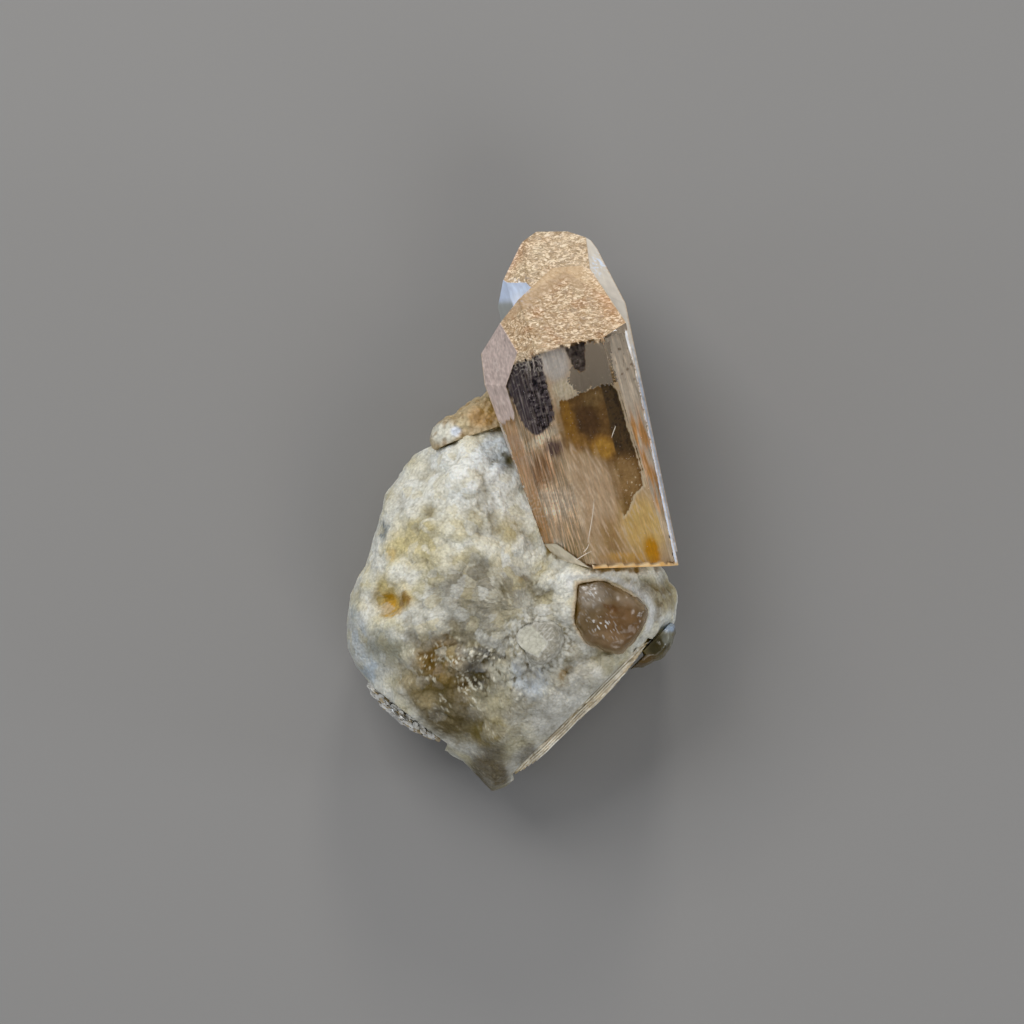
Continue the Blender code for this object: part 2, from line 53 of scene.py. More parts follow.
MM = 0.001
NOISE_LIFT = 1.6
ROCK_MIDDLE = np.array((0.75, -9.5))
ROCK_BACK_BULGE = 1.4
ROCK_COLUMNS = 500
ROCK_FRONT_RINGS = 140
ROCK_BACK_RINGS = 50

# The outline, anticlockwise from the right: (x, y, height of the rim).
ROCK_OUTLINE = np.array(
    (
        (16.4, -8.0, 8.0), (15.8, -7.0, 6.0), (13.4, -3.4, 3.6), (10.0, 1.2, 3.4),
        (6.8, 5.4, 3.4), (3.4, 9.2, 4.0), (-1.0, 11.4, 7.0), (-5.2, 10.6, 8.0),
        (-9.0, 7.3, 8.4), (-10.9, 4.2, 8.6), (-12.8, 1.5, 8.8), (-13.7, -1.9, 9.0),
        (-14.7, -5.3, 9.2), (-16.2, -8.4, 9.0), (-16.75, -11.2, 8.8), (-16.6, -13.7, 8.6),
        (-15.9, -15.5, 8.4), (-14.6, -17.0, 8.4), (-13.6, -19.6, 8.0), (-11.2, -22.2, 8.0),
        (-7.4, -23.5, 8.0), (-5.0, -25.2, 7.6), (-3.5, -26.8, 7.0), (-2.05, -28.35, 6.6),
        (-0.95, -27.9, 6.6), (0.15, -27.1, 6.8), (3.0, -25.8, 7.0), (8.5, -21.0, 8.0),
        (13.0, -16.0, 9.0), (15.4, -12.8, 8.8), (16.4, -10.8, 8.4), (16.5, -9.6, 8.2),
    )
)
# Heights of the front surface: (x, y, height), blended by distance.
ROCK_HEIGHTS = np.array(
    (
        (-4.2, 3.2, 17.2), (-8.4, 5.4, 13.4), (-1.2, 6.4, 14.4), (0.6, 1.4, 15.2),
        (2.7, -3.4, 16.2), (-5.2, -2.8, 18.4), (-1.2, -8.8, 19.6), (4.6, -7.2, 19.0),
        (7.0, -7.6, 20.2), (11.0, -8.6, 20.0), (14.6, -7.6, 17.6), (9.0, -13.8, 18.6),
        (5.0, -16.8, 18.2), (-1.2, -21.8, 16.0), (-2.4, -25.6, 13.0), (-7.2, -14.8, 17.4),
        (-11.2, -4.8, 16.4), (-12.2, -12.8, 16.6), (-14.2, -14.6, 13.6), (-8.0, -19.6, 15.4),
        (2.0, -12.6, 19.0), (-4.4, 7.2, 15.8),
    )
)
# Lumps (up) and hollows (down): (x, y, radius, height).
ROCK_LUMPS = np.array(
    (
        (-6.2, 4.6, 2.2, 0.7), (-8.6, -1.0, 1.9, 0.7), (-4.0, -0.2, 1.7, 0.5),
        (-10.8, -1.9, 1.5, -0.5), (-0.2, -2.6, 1.5, 0.6), (3.4, -5.2, 0.9, -0.9),
        (-6.8, -6.6, 1.8, 0.6), (-3.0, -5.6, 1.4, -0.5), (-11.4, -11.2, 1.7, 0.9),
        (-7.6, -11.4, 1.8, 0.5), (-8.0, -15.4, 1.5, -0.9), (-4.8, -17.6, 1.4, -0.6),
        (-1.4, -14.0, 1.2, -0.7), (-4.4, -14.6, 1.3, 0.6), (5.4, -15.8, 0.8, -0.8),
        (3.2, -19.2, 1.7, 0.6), (-3.4, -21.4, 1.5, 0.6), (-10.6, -18.2, 1.4, 0.7),
        (9.6, -15.6, 1.2, 0.5), (2.6, -9.2, 1.2, -0.4),
    )
)
# The yellow pit: its middle, half sizes and depth.
PIT_PLACE = (-12.1, -9.1)
PIT_REACH = (2.2, 1.6)
PIT_DEPTH = 3.4
# The walls against the neighbours, and how far along the last two the rock has them.
NUB_PLANE = ((-8.9, 6.15, 12.0), (-0.9, 8.9, 12.0), (-8.9, 5.1, 4.0))
BLADE_LINE = ((13.35, -12.6), (0.05, -26.0))
BLADE_NOTCH = (-0.3, 19.5)
FLAKES_LINE = ((-14.6, -16.9), (-6.7, -22.9))
FLAKES_NOTCH = (-1.2, 10.4)
# How far the rock keeps from its neighbours, and how low it may lie under them.
SEAT_GAP = 0.05
LOWEST_SEAT = 0.3
NUB_GAP = 0.35
BLADE_GAP = 0.22
FLAKES_GAP = 0.3
# A ridge of white crust along the crystals' foot.
CRUST_PLACE = -6.05
CRUST_HALF_WIDTH = 0.5
CRUST_HEIGHT = 0.85


def unit(rows):
    """Each row made one long."""
    return rows / np.linalg.norm(rows, axis=1)[:, None]


def slope_noise(points, size, seed):
    """Smooth noise from about -1 to 1: each point blends the random slopes at the
    eight corners of its cell, with weights that ease in and out."""
    place = points / size
    cell = np.floor(place).astype(np.int64)
    inside = place - cell
    ease = inside**3 * (inside * (inside * 6 - 15) + 10)
    draw = np.random.default_rng(seed)
    shuffle = draw.permutation(256)
    slopes = unit(draw.normal(size=(256, 3)))
    total = np.zeros(len(points))
    for corner in np.ndindex(2, 2, 2):
        key = shuffle[(cell[:, 0] + corner[0]) & 255]
        key = shuffle[(key + cell[:, 1] + corner[1]) & 255]
        key = shuffle[(key + cell[:, 2] + corner[2]) & 255]
        weight = np.prod(np.where(corner, ease, 1 - ease), axis=1)
        total += weight * ((inside - corner) * slopes[key]).sum(axis=1)
    return total * NOISE_LIFT


def cell_noise(points, size, seed):
    """The nearest of the random seeds, one in each cell of a grid: how far it is and
    how much further the next one is, three numbers of its own, and the way to it."""
    place = points / size
    cell = np.floor(place).astype(np.int64)
    draw = np.random.default_rng(seed)
    shuffle = draw.permutation(256)
    spots = draw.random((256, 3))
    numbers = draw.random((256, 3))
    nearest = np.full(len(points), 9.0)
    second = np.full(len(points), 9.0)
    own = np.zeros((len(points), 3))
    away = np.zeros((len(points), 3))
    for step in np.ndindex(3, 3, 3):
        there = cell + np.array(step) - 1
        key = shuffle[there[:, 0] & 255]
        key = shuffle[(key + there[:, 1]) & 255]
        key = shuffle[(key + there[:, 2]) & 255]
        offset = place - (there + spots[key])
        gap = np.linalg.norm(offset, axis=1)
        closer = gap < nearest
        second = np.where(closer, nearest, np.minimum(second, gap))
        own = np.where(closer[:, None], numbers[key], own)
        away = np.where(closer[:, None], offset, away)
        nearest = np.where(closer, gap, nearest)
    return nearest, second - nearest, own, away


def rise(value, low, high):
    """0 below low, 1 above high, and a smooth step between."""
    part = np.clip((value - low) / (high - low), 0, 1)
    return part * part * (3 - 2 * part)


def blob(points, x, y, wide, tall=None, turn=0.0):
    """A soft spot in the plan: 1 at its middle, falling off as a bell over an ellipse
    of half-widths wide and tall, turned by some degrees."""
    tall = wide if tall is None else tall
    cosine, sine = math.cos(math.radians(turn)), math.sin(math.radians(turn))
    across, along = points[:, 0] - x, points[:, 1] - y
    u = (across * cosine + along * sine) / wide
    v = (along * cosine - across * sine) / tall
    return np.exp(-(u * u + v * v))


def turned(degrees):
    """A turn about the upright, for points given as rows."""
    cosine, sine = math.cos(math.radians(degrees)), math.sin(math.radians(degrees))
    return np.array(((cosine, -sine, 0), (sine, cosine, 0), (0, 0, 1)))


def ring_value(angle, outline, middle, values):
    """A value along a closed outline, read straight between its points by angle."""
    around = np.arctan2(outline[:, 1] - middle[1], outline[:, 0] - middle[0])
    order = np.argsort(around)
    return np.interp(angle, around[order], values[order], period=2 * math.pi)


def through(points, inside):
    """The plane through three points as (point, normal), facing away from inside."""
    a, b, c = (np.array(p, dtype=float) for p in points)
    normal = np.cross(b - a, c - a)
    normal /= np.linalg.norm(normal)
    return a, normal if normal @ (np.array(inside) - a) < 0 else -normal


def upright(line):
    """The upright plane over a line in the plan, facing away from the rock."""
    (x0, y0), (x1, y1) = line
    return through(((x0, y0, 0), (x1, y1, 0), (x0, y0, 10)), (*ROCK_MIDDLE, 0))


def moved(plane, step):
    """A plane moved outward by a step."""
    return plane[0] + plane[1] * step, plane[1]


def beyond(points, plane):
    """How far outside a plane each point is."""
    return (points - plane[0]) @ plane[1]


def flatten(points, plane, where=1.0):
    """Points past a plane are laid back onto it, which leaves a flat wall there."""
    past = np.maximum(beyond(points, plane), 0) * where
    return points - past[:, None] * plane[1]


def line_way(line):
    """The level way along a line in the plan, one long."""
    (x0, y0), (x1, y1) = line
    way = np.array((x1 - x0, y1 - y0, 0.0))
    return way / np.linalg.norm(way)


def place_along(points, line):
    """How far along a line in the plan each point is."""
    return (points[:, :2] - line[0]) @ line_way(line)[:2]


def solid_corners(node):
    """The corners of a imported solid's triangles, in millimetres."""
    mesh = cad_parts[node].data
    places = np.empty(len(mesh.vertices) * 3, np.float32)
    mesh.vertices.foreach_get("co", places)
    mesh.calc_loop_triangles()
    corners = np.empty(len(mesh.loop_triangles) * 3, np.int32)
    mesh.loop_triangles.foreach_get("vertices", corners)
    return (places.reshape(-1, 3).astype(float) / MM)[corners.reshape(-1, 3)]


def first_hit(points, solid, axis):
    """Where a line along an axis first meets a solid's triangles, for each point: the
    least value of that axis over the triangles that hold the point's other two."""
    across = [i for i in range(3) if i != axis]
    hit = np.full(len(points), np.inf)
    low = solid[..., across].min(axis=(0, 1))
    high = solid[..., across].max(axis=(0, 1))
    near = np.all((points[:, across] > low) & (points[:, across] < high), axis=1)
    place = points[near][:, across]
    a = solid[:, 0]
    ab, ac = solid[:, 1] - a, solid[:, 2] - a
    (ab_x, ab_y), (ac_x, ac_y) = ab[:, across].T, ac[:, across].T
    area = ab_x * ac_y - ab_y * ac_x
    area = np.where(np.abs(area) > 1e-9, area, np.nan)
    found = np.full(len(place), np.inf)
    for start in range(0, len(place), 4000):
        offset = place[start:start + 4000, None, :] - a[None][..., across]
        u = (offset[..., 0] * ac_y - offset[..., 1] * ac_x) / area
        v = (ab_x * offset[..., 1] - ab_y * offset[..., 0]) / area
        held = (u > -1e-6) & (v > -1e-6) & (u + v < 1 + 1e-6)
        value = a[:, axis] + u * ab[:, axis] + v * ac[:, axis]
        found[start:start + 4000] = np.where(held, value, np.inf).min(axis=1)
    hit[near] = found
    return hit


def front_height(points):
    """The given heights blended by distance, plus bell-shaped lumps, less the pit."""
    gaps = np.hypot(
        points[:, :1] - ROCK_HEIGHTS[:, 0], points[:, 1:2] - ROCK_HEIGHTS[:, 1]
    )
    weights = 1 / (gaps + 0.8) ** 3
    height = (weights * ROCK_HEIGHTS[:, 2]).sum(axis=1) / weights.sum(axis=1)
    for x, y, radius, up in ROCK_LUMPS:
        height += up * blob(points, x, y, radius)
    across = (points[:, 0] - PIT_PLACE[0]) / PIT_REACH[0]
    across *= np.where(across > 0, 1.9, 0.85)
    along = (points[:, 1] - PIT_PLACE[1]) / PIT_REACH[1]
    return height - PIT_DEPTH * np.exp(-((across**2 + along**2) ** 1.4))


def grid_faces(rows, columns, closed):
    """Corner numbers of the quads of a grid, whose rows are closed rings or strips."""
    row = np.arange(rows - 1)[:, None]
    column = np.arange(columns if closed else columns - 1)[None, :]
    after = (column + 1) % columns
    corners = (
        row * columns + column,
        (row + 1) * columns + column,
        (row + 1) * columns + after,
        row * columns + after,
    )
    return np.stack(corners, axis=-1).reshape(-1, 4)


def lump_grid(front, back, columns):
    """The two parameters of a closed lump, one row for each ring from its front middle
    over its rim to its back middle: (angle, spread from 0 to 1, whether in front)."""
    angle = np.linspace(-math.pi, math.pi, columns, endpoint=False)
    step = np.concatenate((np.arange(1, front + 1) / front, np.arange(back - 1, 0, -1) / back))
    in_front = np.arange(len(step)) < front
    shape = (len(step), columns)
    return (
        np.broadcast_to(angle, shape).ravel(),
        np.broadcast_to(np.sin(step * math.pi / 2)[:, None], shape).ravel(),
        np.broadcast_to(in_front[:, None], shape).ravel(),
    )


def close_lump(points, columns):
    """The rings' points with one more at each end, and quads closed by two fans."""
    rows = len(points) // columns
    count = len(points)
    ends = points[:columns].mean(axis=0), points[-columns:].mean(axis=0)
    column = np.arange(columns)
    after = (column + 1) % columns
    last = count - columns
    front = np.stack((np.full(columns, count), column, after), axis=1)
    back = np.stack((np.full(columns, count + 1), last + after, last + column), axis=1)
    quads = grid_faces(rows, columns, True)
    return np.vstack((points, *ends)), quads.tolist() + front.tolist() + back.tolist()


def grid_normals(points, columns):
    """Normals of a closed grid from its neighbours' differences along both ways."""
    grid = points.reshape(-1, columns, 3)
    around = np.roll(grid, -1, axis=1) - np.roll(grid, 1, axis=1)
    down = np.gradient(grid, axis=0)
    normal = np.cross(down, around)
    size = np.linalg.norm(normal, axis=2)
    return (normal / np.maximum(size, 1e-9)[..., None]).reshape(-1, 3)


def linear(red, green, blue):
    """A colour given as it looks on a screen, 0 to 255, made linear."""
    value = np.array((red, green, blue)) / 255
    return np.where(value <= 0.04045, value / 12.92, ((value + 0.055) / 1.055) ** 2.4)


def stain(colours, mask, shade):
    """Colours drawn by a mask towards a shade, which is given as it looks on a screen."""
    return colours + (linear(*shade) - colours) * np.clip(mask, 0, 1)[:, None]


def stained(colours, places, stains, low=0.1, high=0.7):
    """Colours under soft oval patches, stains and painted light alike, whose edges run from low to
    high on the bell.
    """
    for x, y, wide, tall, turn, strength, shade in stains:
        mask = strength * rise(blob(places, x, y, wide, tall, turn), low, high)
        colours = stain(colours, mask, shade)
    return colours


def plain(points, shade):
    """One colour for every point."""
    return np.broadcast_to(linear(*shade), (len(points), 3))


def mesh_object(name, points, faces, tone=None, gloss=0.0, smooth=True):
    """Points in millimetres made an object in metres. Each point may have a colour of
    its own, whose alpha says how glossy it is."""
    mesh = bpy.data.meshes.new(name)
    mesh.from_pydata((np.asarray(points) * MM).tolist(), [], faces)
    if smooth:
        mesh.shade_smooth()
    if tone is not None:
        layer = mesh.color_attributes.new("tone", "FLOAT_COLOR", "POINT")
        full = np.ones((len(points), 4))
        full[:, :3] = tone
        full[:, 3] = gloss
        layer.data.foreach_set("color", full.ravel())
    obj = bpy.data.objects.new(name, mesh)
    bpy.context.scene.collection.objects.link(obj)
    return obj


def add_node(tree, kind, sockets=(), **settings):
    """A new node with its settings, whose sockets are linked or given a value."""
    node = tree.nodes.new(kind)
    for key, value in settings.items():
        setattr(node, key, value)
    for key, value in dict(sockets).items():
        if isinstance(value, bpy.types.NodeSocket):
            tree.links.new(value, node.inputs[key])
        else:
            node.inputs[key].default_value = value
    return node


def math_node(tree, operation, *values):
    """The output of a math node, whose inputs are sockets or numbers."""
    return add_node(tree, "ShaderNodeMath", enumerate(values), operation=operation).outputs[0]


def new_material(name, **fixed):
    """A material with one Principled shader, some of whose sockets are fixed values."""
    material = bpy.data.materials.new(name)
    material.use_nodes = True
    tree = material.node_tree
    shader = tree.nodes["Principled BSDF"]
    for key, value in fixed.items():
        shader.inputs[key.replace("_", " ")].default_value = value
    return material, tree, shader


def new_group(name, inputs, outputs):
    """An empty node group with number inputs and outputs."""
    group = bpy.data.node_groups.new(name, "ShaderNodeTree")
    for label, value in inputs.items():
        socket = group.interface.new_socket(label, in_out="INPUT", socket_type="NodeSocketFloat")
        socket.default_value = value
    for label in outputs:
        group.interface.new_socket(label, in_out="OUTPUT", socket_type="NodeSocketFloat")
    ends = group.nodes.new("NodeGroupInput"), group.nodes.new("NodeGroupOutput")
    return group, ends[0].outputs, ends[1].inputs


# Fine mineral grain: how light each grain is, and how high.
grain_group, grain_in, grain_out = new_group(
    "mineral_grain", {"Size per metre": 2500.0, "Contrast": 0.2}, ("Shade", "Height")
)
grain_place = add_node(grain_group, "ShaderNodeTexCoord").outputs["Object"]
grain_cells = add_node(
    grain_group, "ShaderNodeTexVoronoi", {"Vector": grain_place, "Scale": grain_in[0]}
)
grain_clouds = add_node(
    grain_group, "ShaderNodeTexNoise",
    {"Vector": grain_place, "Scale": grain_in[0], "Detail": 4.0, "Roughness": 0.65},
)
grain_half = math_node(grain_group, "MULTIPLY", grain_cells.outputs["Distance"], 0.5)
grain_own = math_node(
    grain_group, "MULTIPLY_ADD", grain_cells.outputs["Color"], 0.6, grain_clouds.outputs["Fac"]
)
grain_height = math_node(grain_group, "SUBTRACT", grain_own, grain_half)
grain_spread = math_node(grain_group, "SUBTRACT", grain_height, 0.55)
grain_shade = math_node(grain_group, "MULTIPLY_ADD", grain_spread, grain_in[1], 1.0)
grain_group.links.new(grain_shade, grain_out["Shade"])
grain_group.links.new(grain_height, grain_out["Height"])

# The painted highlight that a lit stroke of a frosted end adds to its colour.
LIT_STROKE = (0.46, 0.43, 0.35)


def toned_material(name, pattern, per_metre, contrast, bump, rough, glossy, **fixed):
    """A mineral whose colour is its own attribute broken up by a fine pattern, rough
    where that attribute's alpha is 0 and glossy where it is 1. The alpha also sets the
    pattern's contrast if none is given."""
    material, tree, shader = new_material(name, **fixed)
    tone = add_node(tree, "ShaderNodeVertexColor", layer_name="tone")
    grain = add_node(tree, "ShaderNodeGroup", node_tree=pattern)
    grain.inputs["Size per metre"].default_value = per_metre
    if contrast is None:
        tree.links.new(tone.outputs["Alpha"], grain.inputs["Contrast"])
    else:
        grain.inputs["Contrast"].default_value = contrast
    colour = add_node(
        tree, "ShaderNodeVectorMath",
        {0: tone.outputs["Color"], "Scale": grain.outputs["Shade"]}, operation="SCALE",
    )
    if "Lit" in grain.outputs:
        colour = add_node(
            tree, "ShaderNodeVectorMath",
            {0: grain.outputs["Lit"], 1: LIT_STROKE, 2: colour.outputs[0]},
            operation="MULTIPLY_ADD",
        )
    roughness = add_node(
        tree, "ShaderNodeMapRange",
        {"Value": tone.outputs["Alpha"], "To Min": rough, "To Max": glossy},
    )
    lift = add_node(
        tree, "ShaderNodeBump",
        {"Height": grain.outputs["Height"], "Distance": bump * MM, "Strength": 1.0},
    )
    tree.links.new(colour.outputs[0], shader.inputs["Base Color"])
    tree.links.new(roughness.outputs[0], shader.inputs["Roughness"])
    tree.links.new(lift.outputs[0], shader.inputs["Normal"])
    return material


# Stains of the rock, with some painted light among them: (x, y, half width, half height, turn,
# strength, colour).
ROCK_STAINS_AND_PAINTED_LIGHT = (
    (-0.5, -15.5, 11.0, 8.0, 0, 0.8, (126, 120, 104)),
    (-4.5, 3.6, 5.4, 4.6, 0, 0.8, (212, 213, 209)),
    # Partly the rock's bluish white, partly a painted highlight beside the topaz.
    (-0.6, 6.0, 3.2, 2.4, 0, 0.8, (207, 215, 221)),
    (-9.5, -2.8, 2.8, 2.6, 20, 0.75, (180, 165, 112)),
    (-5.4, -1.4, 2.2, 1.4, 0, 0.5, (190, 180, 140)),
    (-6.6, -5.4, 2.6, 1.6, 10, 0.5, (184, 172, 130)),
    (-0.3, -1.9, 1.3, 1.7, 0, 0.8, (162, 148, 108)),
    (-4.2, -4.4, 1.8, 1.0, 20, 0.5, (182, 168, 122)),
    (-12.1, -4.1, 0.5, 0.8, 0, 0.6, (190, 160, 92)),
    (-3.0, -7.6, 4.8, 3.0, 0, 0.8, (116, 110, 95)),
    (3.5, -3.5, 0.35, 1.3, 10, 0.9, (128, 106, 45)),
    (-12.2, -8.4, 2.2, 1.8, 0, 0.85, (202, 184, 128)),
    (-11.9, -9.4, 1.4, 1.0, 25, 0.95, (184, 146, 62)),
    (-12.2, -9.7, 0.8, 0.5, 20, 0.85, (198, 156, 70)),
    (-12.4, -11.2, 2.2, 0.7, -10, 0.7, (212, 204, 172)),
    (-13.2, -13.6, 2.4, 2.2, 0, 0.7, (134, 135, 125)),
    (-15.9, -12.4, 0.9, 3.2, 0, 0.7, (158, 165, 170)),
    (-14.5, -15.9, 0.8, 1.5, 20, 0.8, (164, 174, 182)),
    (-5.4, -16.6, 5.0, 2.6, -20, 0.6, (112, 100, 76)),
    (-7.4, -15.0, 2.2, 1.7, -10, 0.85, (124, 98, 52)),
    (-8.8, -14.4, 0.8, 0.5, 20, 0.8, (84, 64, 34)),
    (-6.0, -17.8, 2.4, 1.2, -25, 0.7, (140, 120, 76)),
    (-3.7, -16.0, 0.9, 1.4, 20, 0.9, (60, 54, 46)),
    (-4.9, -17.5, 1.1, 0.5, 30, 0.85, (74, 60, 40)),
    (-9.6, -17.6, 1.8, 1.3, 0, 0.6, (132, 116, 80)),
    (-6.0, -13.2, 1.4, 0.4, -35, 0.8, (92, 76, 48)),
    (-2.4, -13.9, 3.4, 0.4, -20, 0.8, (84, 82, 78)),
    (-1.6, -15.0, 2.2, 0.9, -20, 0.6, (98, 96, 92)),
    (-0.9, -16.4, 1.7, 1.4, 0, 0.6, (196, 193, 176)),
    (1.7, -16.6, 2.2, 1.7, -30, 0.8, (174, 181, 188)),
    (-2.2, -18.8, 2.2, 1.5, 0, 0.6, (186, 178, 148)),
    (-2.0, -21.7, 1.8, 1.5, 0, 0.65, (148, 136, 96)),
    (-7.0, -20.8, 2.8, 1.6, -30, 0.8, (108, 98, 76)),
    # Painted light: paler than the rock's own grey, to lift the shade of a slope that faces away
    # from the lamps.
    (4.6, -20.0, 3.8, 1.8, 45, 0.75, (188, 186, 178)),
    (1.2, -24.4, 1.3, 0.8, 45, 0.75, (94, 88, 76)),
    (-2.2, -26.8, 1.8, 2.2, 0, 0.85, (110, 102, 86)),
    (5.3, -16.2, 0.45, 1.0, -25, 0.75, (116, 92, 52)),
    (7.4, -15.6, 1.5, 1.1, 0, 0.6, (198, 194, 184)),
    (1.1, -6.7, 0.6, 0.35, -30, 0.85, (92, 74, 44)),
    (15.0, -8.4, 1.7, 1.8, 0, 0.8, (156, 143, 116)),
    (15.2, -8.0, 0.5, 0.4, 0, 0.9, (96, 68, 34)),
    (14.6, -9.9, 0.5, 1.2, -20, 0.7, (104, 88, 62)),
    (-0.6, 5.7, 0.3, 0.3, 0, 0.9, (64, 70, 62)),
    (-0.2, 5.2, 0.5, 0.25, 30, 0.8, (80, 84, 76)),
    (-1.9, 4.7, 0.18, 0.15, 0, 0.9, (62, 66, 60)),
    (-13.0, -2.0, 0.3, 1.2, -8, 0.8, (92, 102, 108)),
    (-6.5, -20.0, 4.2, 2.4, -35, 0.8, (84, 74, 52)),
    (-9.8, -17.2, 2.2, 1.6, -30, 0.6, (112, 98, 64)),
    (-7.2, -15.2, 2.4, 2.0, -20, 0.75, (104, 80, 34)),
    (-8.6, -18.7, 1.2, 0.8, -20, 0.7, (150, 136, 104)),
    (-3.3, -16.7, 0.5, 0.9, 30, 0.9, (48, 42, 34)),
    (-2.2, -17.6, 1.6, 0.8, 30, 0.6, (96, 92, 78)),
    (-2.4, -22.3, 1.8, 1.4, 0, 0.7, (122, 108, 66)),
    (-2.2, -25.8, 2.4, 2.8, 0, 0.8, (90, 82, 66)),
    (-10.8, -9.1, 0.45, 1.0, 10, 0.9, (124, 94, 42)),
)
ROCK_WHITE = (204, 203, 194)
ROCK_CREAM = (186, 178, 146)
ROCK_GREY = (160, 159, 152)
SMOKY_MIDDLE = np.array((9.7, -10.6))
SMOKY_OUTLINE = np.array(
    (
        (13.75, -9.85), (13.6, -10.6), (13.2, -11.9), (12.6, -12.7), (11.8, -13.6),
        (11.1, -14.3), (9.7, -14.3), (8.4, -13.8), (7.2, -13.3), (6.4, -12.2),
        (5.8, -11.2), (5.75, -9.8), (6.0, -8.4), (6.1, -6.75), (7.4, -6.5), (8.9, -6.45),
        (10.1, -7.0), (11.2, -7.55), (12.5, -8.3), (13.5, -9.3),
    )
)
CLEAR_MIDDLE = np.array((2.7, -13.0))
CLEAR_OUTLINE = np.array(
    (
        (5.0, -11.4), (5.1, -13.2), (3.9, -14.9), (2.4, -15.4), (1.0, -14.0),
        (0.2, -12.4), (0.9, -11.2), (2.6, -10.9),
    )
)
# How high the floors of the grains' pockets are.
SMOKY_POCKET = 15.4
CLEAR_POCKET = 16.6


def outline_reach(points, outline, middle):
    """How far out each point is, as a share of the outline's distance at its angle."""
    offset = points[:, :2] - middle
    reach = np.hypot(*(outline[:, :2] - middle).T)
    edge = ring_value(np.arctan2(offset[:, 1], offset[:, 0]), outline, middle, reach)
    return np.hypot(*offset.T) / edge


def rock_surface():
    """Rings from the middle of the front over the rim to the middle of the back. The
    front rises from the rim by a rounded step to the height, and the back falls so."""
    angle, spread, in_front = lump_grid(ROCK_FRONT_RINGS, ROCK_BACK_RINGS, ROCK_COLUMNS)
    reach = np.hypot(*(ROCK_OUTLINE[:, :2] - ROCK_MIDDLE).T)
    radius = ring_value(angle, ROCK_OUTLINE, ROCK_MIDDLE, reach) * spread
    rim = ring_value(angle, ROCK_OUTLINE, ROCK_MIDDLE, ROCK_OUTLINE[:, 2])
    points = np.zeros((len(angle), 3))
    points[:, 0] = ROCK_MIDDLE[0] + radius * np.cos(angle)
    points[:, 1] = ROCK_MIDDLE[1] + radius * np.sin(angle)
    front = rim + (front_height(points) - rim) * np.sqrt(np.maximum(1 - spread**4.5, 0))
    back = rim - (rim + ROCK_BACK_BULGE) * np.sqrt(np.maximum(1 - spread**6, 0))
    points[:, 2] = np.where(in_front, front, back)
    return points, spread


def rock_relief(points, spread):
    """Wide folds, then rounded grains of three sizes that stand at heights of their
    own, with sharper crystals where the rock is rough and little where it is glassy."""
    rough = np.clip(
        blob(points, -5.5, -15.8, 5.4, 3.4, -20) + blob(points, 0.0, -15.6, 3.4, 3.0)
        + 0.5 * blob(points, 3.5, -7.5, 4.0, 3.0) + 0.4 * blob(points, -2.5, -19.5, 3.0), 0, 1,
    )
    glassy = np.clip(
        blob(points, -15.2, -13.6, 2.4, 3.6) + blob(points, -2.2, -26.6, 2.6, 3.0)
        + 0.8 * blob(points, -12.8, -14.6, 1.8, 2.2, 20)
        + 0.7 * blob(points, 3.8, -20.6, 4.5, 2.2, 45), 0, 1,
    )
    big = np.abs(slope_noise(points, 3.4, 11)) - 0.27
    waves = slope_noise(points, 1.5, 12)
    relief = 0.6 * big + 0.16 * waves
    for size, height, seed in ((2.7, 0.62, 16), (1.1, 0.24, 13), (0.5, 0.12, 14)):
        near, gap, own = cell_noise(points, size, seed)[:3]
        relief += height * (0.9 * (0.45 - near**2) + 0.9 * (own[:, 0] - 0.5) * rise(gap, 0.0, 0.3))
    relief *= (1 - 0.8 * glassy) * (1 - 0.85 * blob(points, -12.0, -9.3, 1.9, 1.4))
    near, gap, own, away = cell_noise(points, 0.62, 15)
    grains = 0.34 * (own[:, 0] - 0.5) * rise(gap, 0.0, 0.25) - 0.16 * near + 0.08
    grains += 0.25 * (away * (own - 0.5)).sum(axis=1)
    relief += rough * grains
    return relief * (1 - 0.6 * spread**8), rough, glassy


def rock_tone(points, relief, rough):
    """White broken by wide cream and grey clouds, then the stains, each one frayed by
    noise, with painted light on what stands up and painted shade, darker and browner, in what lies
    deep."""
    colours = plain(points, ROCK_WHITE)
    colours = stain(colours, 0.8 * rise(slope_noise(points, 3.2, 21), -0.1, 0.45), ROCK_CREAM)
    colours = stain(colours, 0.4 * rise(slope_noise(points, 2.1, 22), 0.05, 0.5), ROCK_GREY)
    frayed = points.copy()
    for axis in range(2):
        frayed[:, axis] += 0.55 * slope_noise(points, 1.5, 31 + axis)
        frayed[:, axis] += 0.22 * slope_noise(points, 0.5, 33 + axis)
    colours = stained(colours, frayed, ROCK_STAINS_AND_PAINTED_LIGHT, 0.08, 0.75)
    speck = rise(slope_noise(points, 0.55, 41), 0.42, 0.6)
    colours = stain(colours, speck * (0.15 + 0.6 * rough), (74, 64, 42))
    needles = slope_noise((points @ turned(35)) * (1.0, 0.35, 1.0), 0.24, 42)
    glint = rise(needles, 0.22, 0.45) * rise(slope_noise(points, 1.7, 44), -0.1, 0.35)
    colours = stain(colours, glint * (0.15 + 0.75 * rough), (222, 218, 200))
    depth = np.clip(relief / 0.4, -1, 1)
    own, gap = cell_noise(points, 1.1, 13)[2], cell_noise(points, 0.5, 14)[1]
    lower = rise(-points[:, 1], 12.0, 19.0)
    colours = stain(colours, 0.4 * rise(own[:, 1], 0.4, 1.0) * (1 - lower), (190, 178, 140))
    pale = rise(own[:, 2], 0.5, 1.0) * (1 - 0.6 * lower)
    colours = stain(colours, 0.4 * pale, (214, 214, 208))
    # Painted shade along the crevices between the small grains.
    colours = stain(colours, 0.28 * (1 - rise(gap, 0.0, 0.12)), (126, 114, 84))
    # Painted shade, darker and browner, in what lies deep, and painted light on what stands up.
    colours = stain(colours, 0.6 * np.maximum(-depth, 0), (116, 104, 72))
    return colours * (1 + 0.18 * depth)[:, None]


